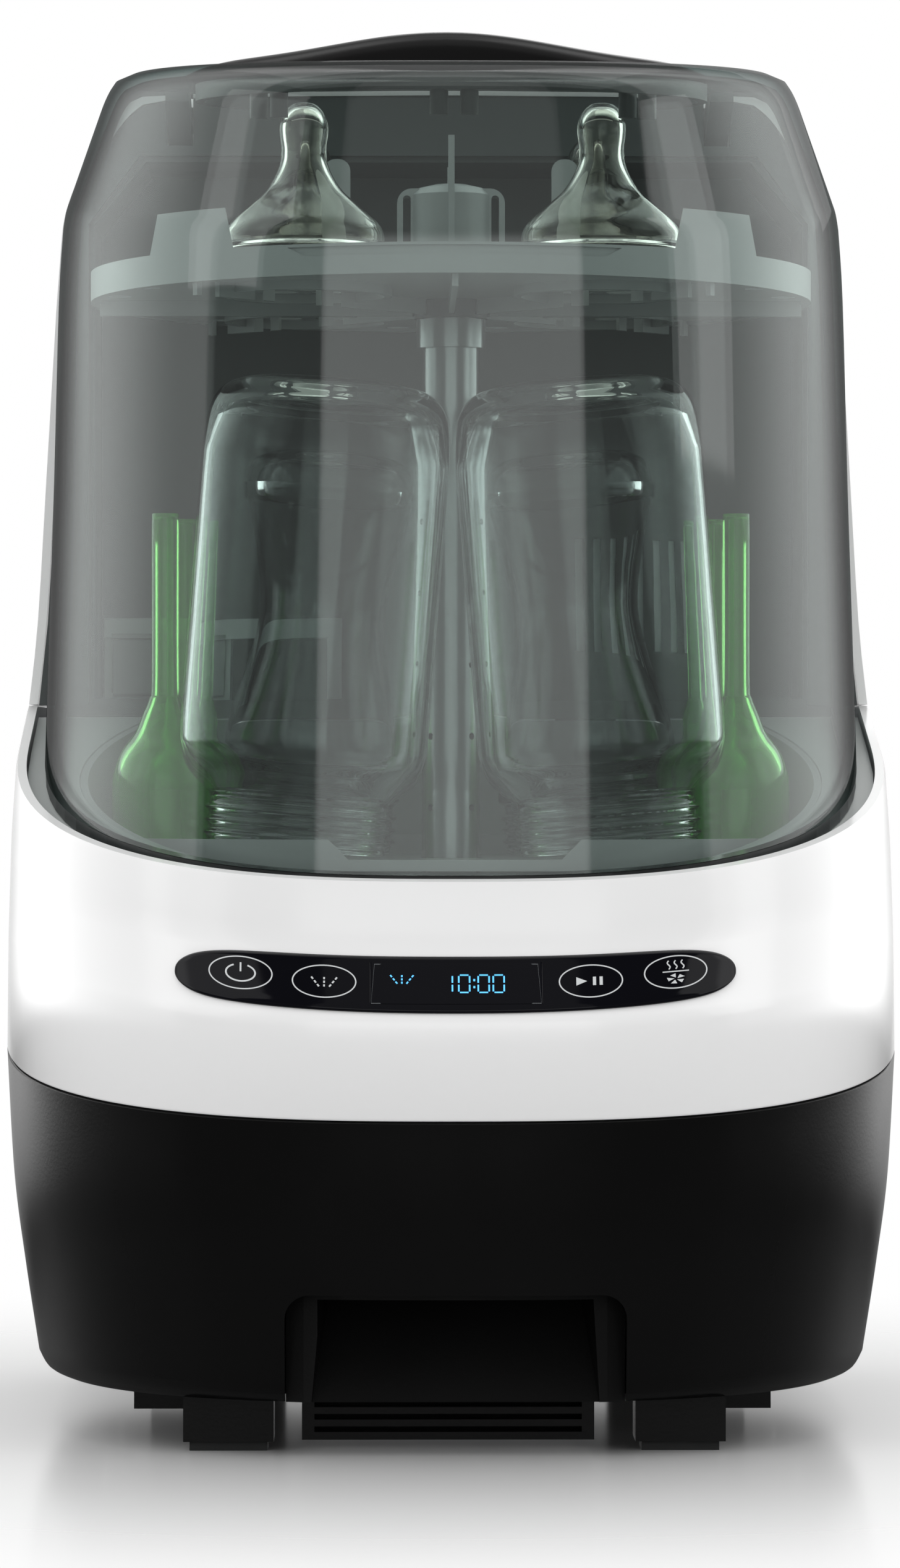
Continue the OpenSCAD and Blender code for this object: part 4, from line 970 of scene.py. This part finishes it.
def make_hood():
    """The clear hood, dark along its rear edge and its foot."""
    rows = smooth_rows(HOOD_ROWS[:5], 4)[:-1] + rounded(HOOD_ROWS[4:], {1: (0.5, 0.2), 3: (0.18, 0.6)})
    outer = [hood_ring(r, 0) for r in rows]
    inner = [hood_ring(r, HOOD_WALL) for r in rows]
    hood = open_shell("hood", outer, inner, "hood", "hood", ["hood_shell"], edge="hood_edge")
    for face in hood.data.polygons:
        centre = face.center / MM
        at_back = abs(face.normal.y) > 0.9 and centre.y > HOOD_END_Y - 0.05
        at_foot = face.normal.z < -0.8 and centre.z < LIP_Z + LIP_SLOPE * min(centre.y, SPLIT_Y) + 2
        if at_back or at_foot:
            face.material_index = 1


CAP_HALF_W, CAP_HALF_D, CAP_Y, CAP_Z = 104, 23, 111, 458.6
CAP_DROOP, CAP_LIP, CAP_CORNER = 2.4, 0.9, 0.7
CREST_HALF_W, CREST_H = 74, 7.6


def cap_foot(x):
    """The height of the cap's underside, which droops at both ends."""
    return CAP_Z - CAP_DROOP * (abs(x) / CAP_HALF_W) ** 8


def make_cap():
    """A black fairing behind the hood with a bell-shaped crest in its middle."""
    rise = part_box("top_cap")[1].z / MM - CAP_Z - 1 - CREST_H
    steps, levels = 192, 28
    shares = [math.cos(math.radians(88 * level / levels)) for level in range(levels + 1)]
    points = []
    for under in (True, False):
        for share in reversed(shares) if under else shares:
            for i in range(steps):
                t = 2 * math.pi * i / steps
                x = share * CAP_HALF_W * signed_pow(math.cos(t), CAP_CORNER)
                y = share * CAP_HALF_D * signed_pow(math.sin(t), CAP_CORNER)
                z = cap_foot(x)
                if not under:
                    crest = CREST_H * (0.5 + 0.5 * math.cos(math.pi * min(1, abs(x) / CREST_HALF_W)))
                    z += CAP_LIP + (rise + crest) * math.sqrt(max(0.0, 1 - share ** 5))
                points.append(Vector((x, CAP_Y + y, z)) * MM)
    rows = 2 * len(shares)
    faces = grid_faces(rows, steps)
    faces += [tuple(range(steps)), tuple((rows - 1) * steps + i for i in range(steps))]
    add_piece("steam_cap", points, faces, "black", nodes=["top_cap"], crease=50)


# ---- Load: bottles, teats and vent tubes, turned from their profiles ----

def curve_through(profile, per):
    """A smooth profile through (r, z) points that never crosses its axis."""
    return [(max(0.0, r), z) for r, z in smooth_rows(profile, per)]


def turned(name, profile, place, lean, material, nodes, steps=72):
    """A closed profile turned about its own axis, leaning about Y, standing at place."""
    turn = Matrix.Translation(Vector(place) * MM) @ Matrix.Rotation(math.radians(lean), 4, "Y")
    points, faces, rows = [], [], []
    for r, z in profile:
        if r < 1e-4:
            rows.append([len(points)])
            points.append(turn @ (Vector((0, 0, z)) * MM))
            continue
        rows.append(list(range(len(points), len(points) + steps)))
        points += [turn @ (Vector((r * math.cos(2 * math.pi * i / steps),
                                   r * math.sin(2 * math.pi * i / steps), z)) * MM) for i in range(steps)]
    closes = len(rows[0]) > 1 and len(rows[-1]) > 1
    for a, b in zip(rows, rows[1:] + (rows[:1] if closes else [])):
        for i in range(steps):
            k = (i + 1) % steps
            if len(a) == 1 and len(b) > 1:
                faces.append((a[0], b[i], b[k]))
            elif len(b) == 1 and len(a) > 1:
                faces.append((a[i], b[0], a[k]))
            elif len(a) > 1:
                faces.append((a[i], b[i], b[k], a[k]))
    return add_piece(name, points, faces, material, nodes=nodes, crease=50)


LOAD_Z, TEAT_Z = 192, 388.1
BOTTLE_LEAN, BOTTLE_WALL = 4.5, 2.2
SIDES = ((-1, "left"), (1, "right"))
FRONT_MOUTH, REAR_MOUTH = (52, -72), (50, 38)
FRONT_TUBE, REAR_TUBE = (96.5, -26), (91.5, 16)
FRONT_TEAT, REAR_TEAT = (49, -80), (49, 28)


def bottle_profile(diameter, waist, height):
    """Outside and inside of an inverted bottle, from its threaded mouth up to its rounded base."""
    r, wall = diameter / 2, BOTTLE_WALL
    outside = [(27.4, 0), (29.4, 0.4)]
    for k in range(3):
        foot = 2.6 + 4.2 * k
        outside += [(29.5, foot), (30.7, foot + 1), (30.7, foot + 1.8), (29.5, foot + 2.8)]
    outside += [(29.5, 16.5), (31.5, 18.6), (r - 3.4, 24.5), (r - 0.6, 32), (r, 40), (r - waist, 72),
                (r - waist, 92), (r, 124), (r - 0.2, height - 22), (r - 1.8, height - 10),
                (r - 6, height - 3.4), (r - 13, height - 0.4), (r - 20, height - 0.2), (0, height - 3.4)]
    inside = [(0, height - 7), (r - 18, height - 4.2), (r - 11, height - 6.5), (r - 6, height - 11),
              (r - wall - 0.6, height - 22), (r - wall, 124), (r - waist - wall, 92),
              (r - waist - wall, 72), (r - wall, 40), (r - 2.8, 32), (r - 5.8, 26), (29, 20.4),
              (27.2, 17), (27, 2)]
    return curve_through(outside, 4) + curve_through(inside, 5)


def make_bottles():
    """Two straight bottles in front and two waisted ones behind, leaning towards the tower."""
    for side, word in SIDES:
        for (x, y), row, diameter, waist, height in ((FRONT_MOUTH, "front", 82, 0, 155),
                                                     (REAR_MOUTH, "rear", 68, 9, 142)):
            turned(f"bottle_{row}_{word}_glass", bottle_profile(diameter, waist, height),
                   (side * x, y, LOAD_Z), -side * BOTTLE_LEAN, "bottle", [f"bottle_{row}_{word}"],
                   steps=96)


TEAT_OUTSIDE = [(28.4, 0.2), (28.6, 1.2), (28.4, 2.4), (26.6, 3.2), (26.4, 6.4), (24.6, 10), (18.6, 15.4),
                (13, 20.4), (9.6, 25.4), (7.8, 30), (7.4, 34), (7.9, 38.4), (8, 42), (6.8, 46), (4, 49),
                (0, 49.7)]
TEAT_INSIDE = [(0, 47.8), (3, 47.2), (5.2, 45), (6.2, 42), (6.1, 38.4), (5.6, 34), (6, 30), (8, 25.4),
               (11.4, 20.4), (17, 15.2), (22.6, 9.6), (24.4, 6.4), (24.4, 3), (26.5, 1.4), (26.8, 0.2)]


def make_teats():
    """Four teats on the upper rack; the first piece stands for the CAD's one node of all four."""
    profile = curve_through(TEAT_OUTSIDE, 4) + curve_through(TEAT_INSIDE, 4)
    nodes = ["teats"]
    for side, word in SIDES:
        for (x, y), row in ((FRONT_TEAT, "front"), (REAR_TEAT, "rear")):
            turned(f"teat_{word}_{row}", profile, (side * x, y, TEAT_Z), 0, "teat", nodes)
            nodes = []


def vent_tube_profile(bell):
    """Outside and inside of a bell of that radius that narrows to a long open tube."""
    outside = [(bell - 0.2, 0.1), (bell, 4), (bell, 21), (bell - 0.9, 27), (bell - 3.6, 33.5),
               (bell - 8, 39.5), (7.6, 45.5), (5.4, 51), (4.6, 58), (4.6, 109), (4.2, 111.2), (3.4, 112)]
    inside = [(2.8, 111), (2.8, 58), (3.5, 50.5), (5.6, 44.4), (bell - 10, 38), (bell - 5.6, 32.4),
              (bell - 2.8, 26), (bell - 2, 20), (bell - 2, 4), (bell - 1.8, 0.1)]
    return curve_through(outside, 4) + curve_through(inside, 4)


def make_vent_tubes():
    """Four green vent tubes; the first piece stands for the CAD's one node of all four."""
    nodes = ["vent_tubes"]
    for side, word in SIDES:
        for (x, y), row, bell in ((FRONT_TUBE, "front", 18), (REAR_TUBE, "rear", 16)):
            turned(f"vent_tube_{word}_{row}", vent_tube_profile(bell), (side * x, y, LOAD_Z), 0, "green",
                   nodes, steps=48)
            nodes = []


make_housing()
make_hood()
make_cap()
make_bottles()
make_teats()
make_vent_tubes()


# ---- CAD nodes that show as they are: softened edges and their own materials ----

NODE_LOOKS = {
    "black": ["filter_cover", "underside_cover", "foot_blocks", "power_inlet"],
    "black_matt": ["base_plate", "grip_insert", "display_module"],
    "rubber": ["rubber_feet"],
    "seal": ["hood_gasket"],
    "rack": ["lower_rack", "rack_legs", "rack_cage"],
    "hub_rack": ["upper_rack"],
    "tower": ["spray_tower", "tower_collar"],
    "ring": ["ceiling_ring"],
    "bezel": ["housing_bezel"],
    "tub": ["chamber_tub", "spray_arm"],
    "light": ["detergent_box"],
    "deck": ["chamber_deck"],
    "lid": ["detergent_door", "waste_tank_lid"],
    "dark": ["chamber_liner", "hood_arms", "wash_pump", "drain_pump", "blower_housing",
             "air_duct"],
    "steel": ["base_screws", "hinge_pins", "hinge_brackets", "sump_filter", "wash_pump_motor",
              "drain_pump_motor", "blower_motor"],
    "white": ["tank_bay", "clean_tank_lid", "wash_pump_impeller", "drain_pump_impeller", "blower_wheel"],
    "copper": ["steam_heater"],
    "board": ["control_board"],
    "filter": ["hepa_filter"],
    "tank": ["clean_tank"],
    "waste": ["waste_tank"],
}
SOFT_EDGE = 0.6
FINER_EDGES = {"hood_gasket": 0.4, "sump_filter": 0.1, "base_screws": 0.2, "blower_wheel": 0.15}


def dress_nodes():
    """Gives each remaining CAD node its material and a narrow bevel on its edges."""
    for look, names in NODE_LOOKS.items():
        for name in names:
            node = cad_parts[name]
            node.data.materials.clear()
            node.data.materials.append(materials[look])
            bevel = node.modifiers.new("soft_edges", "BEVEL")
            bevel.width = FINER_EDGES.get(name, SOFT_EDGE) * MM
            bevel.segments = 2
            bevel.limit_method = "ANGLE"
            bevel.angle_limit = math.radians(40)
            bevel.harden_normals = True


dress_nodes()


bpy.context.view_layer.update()
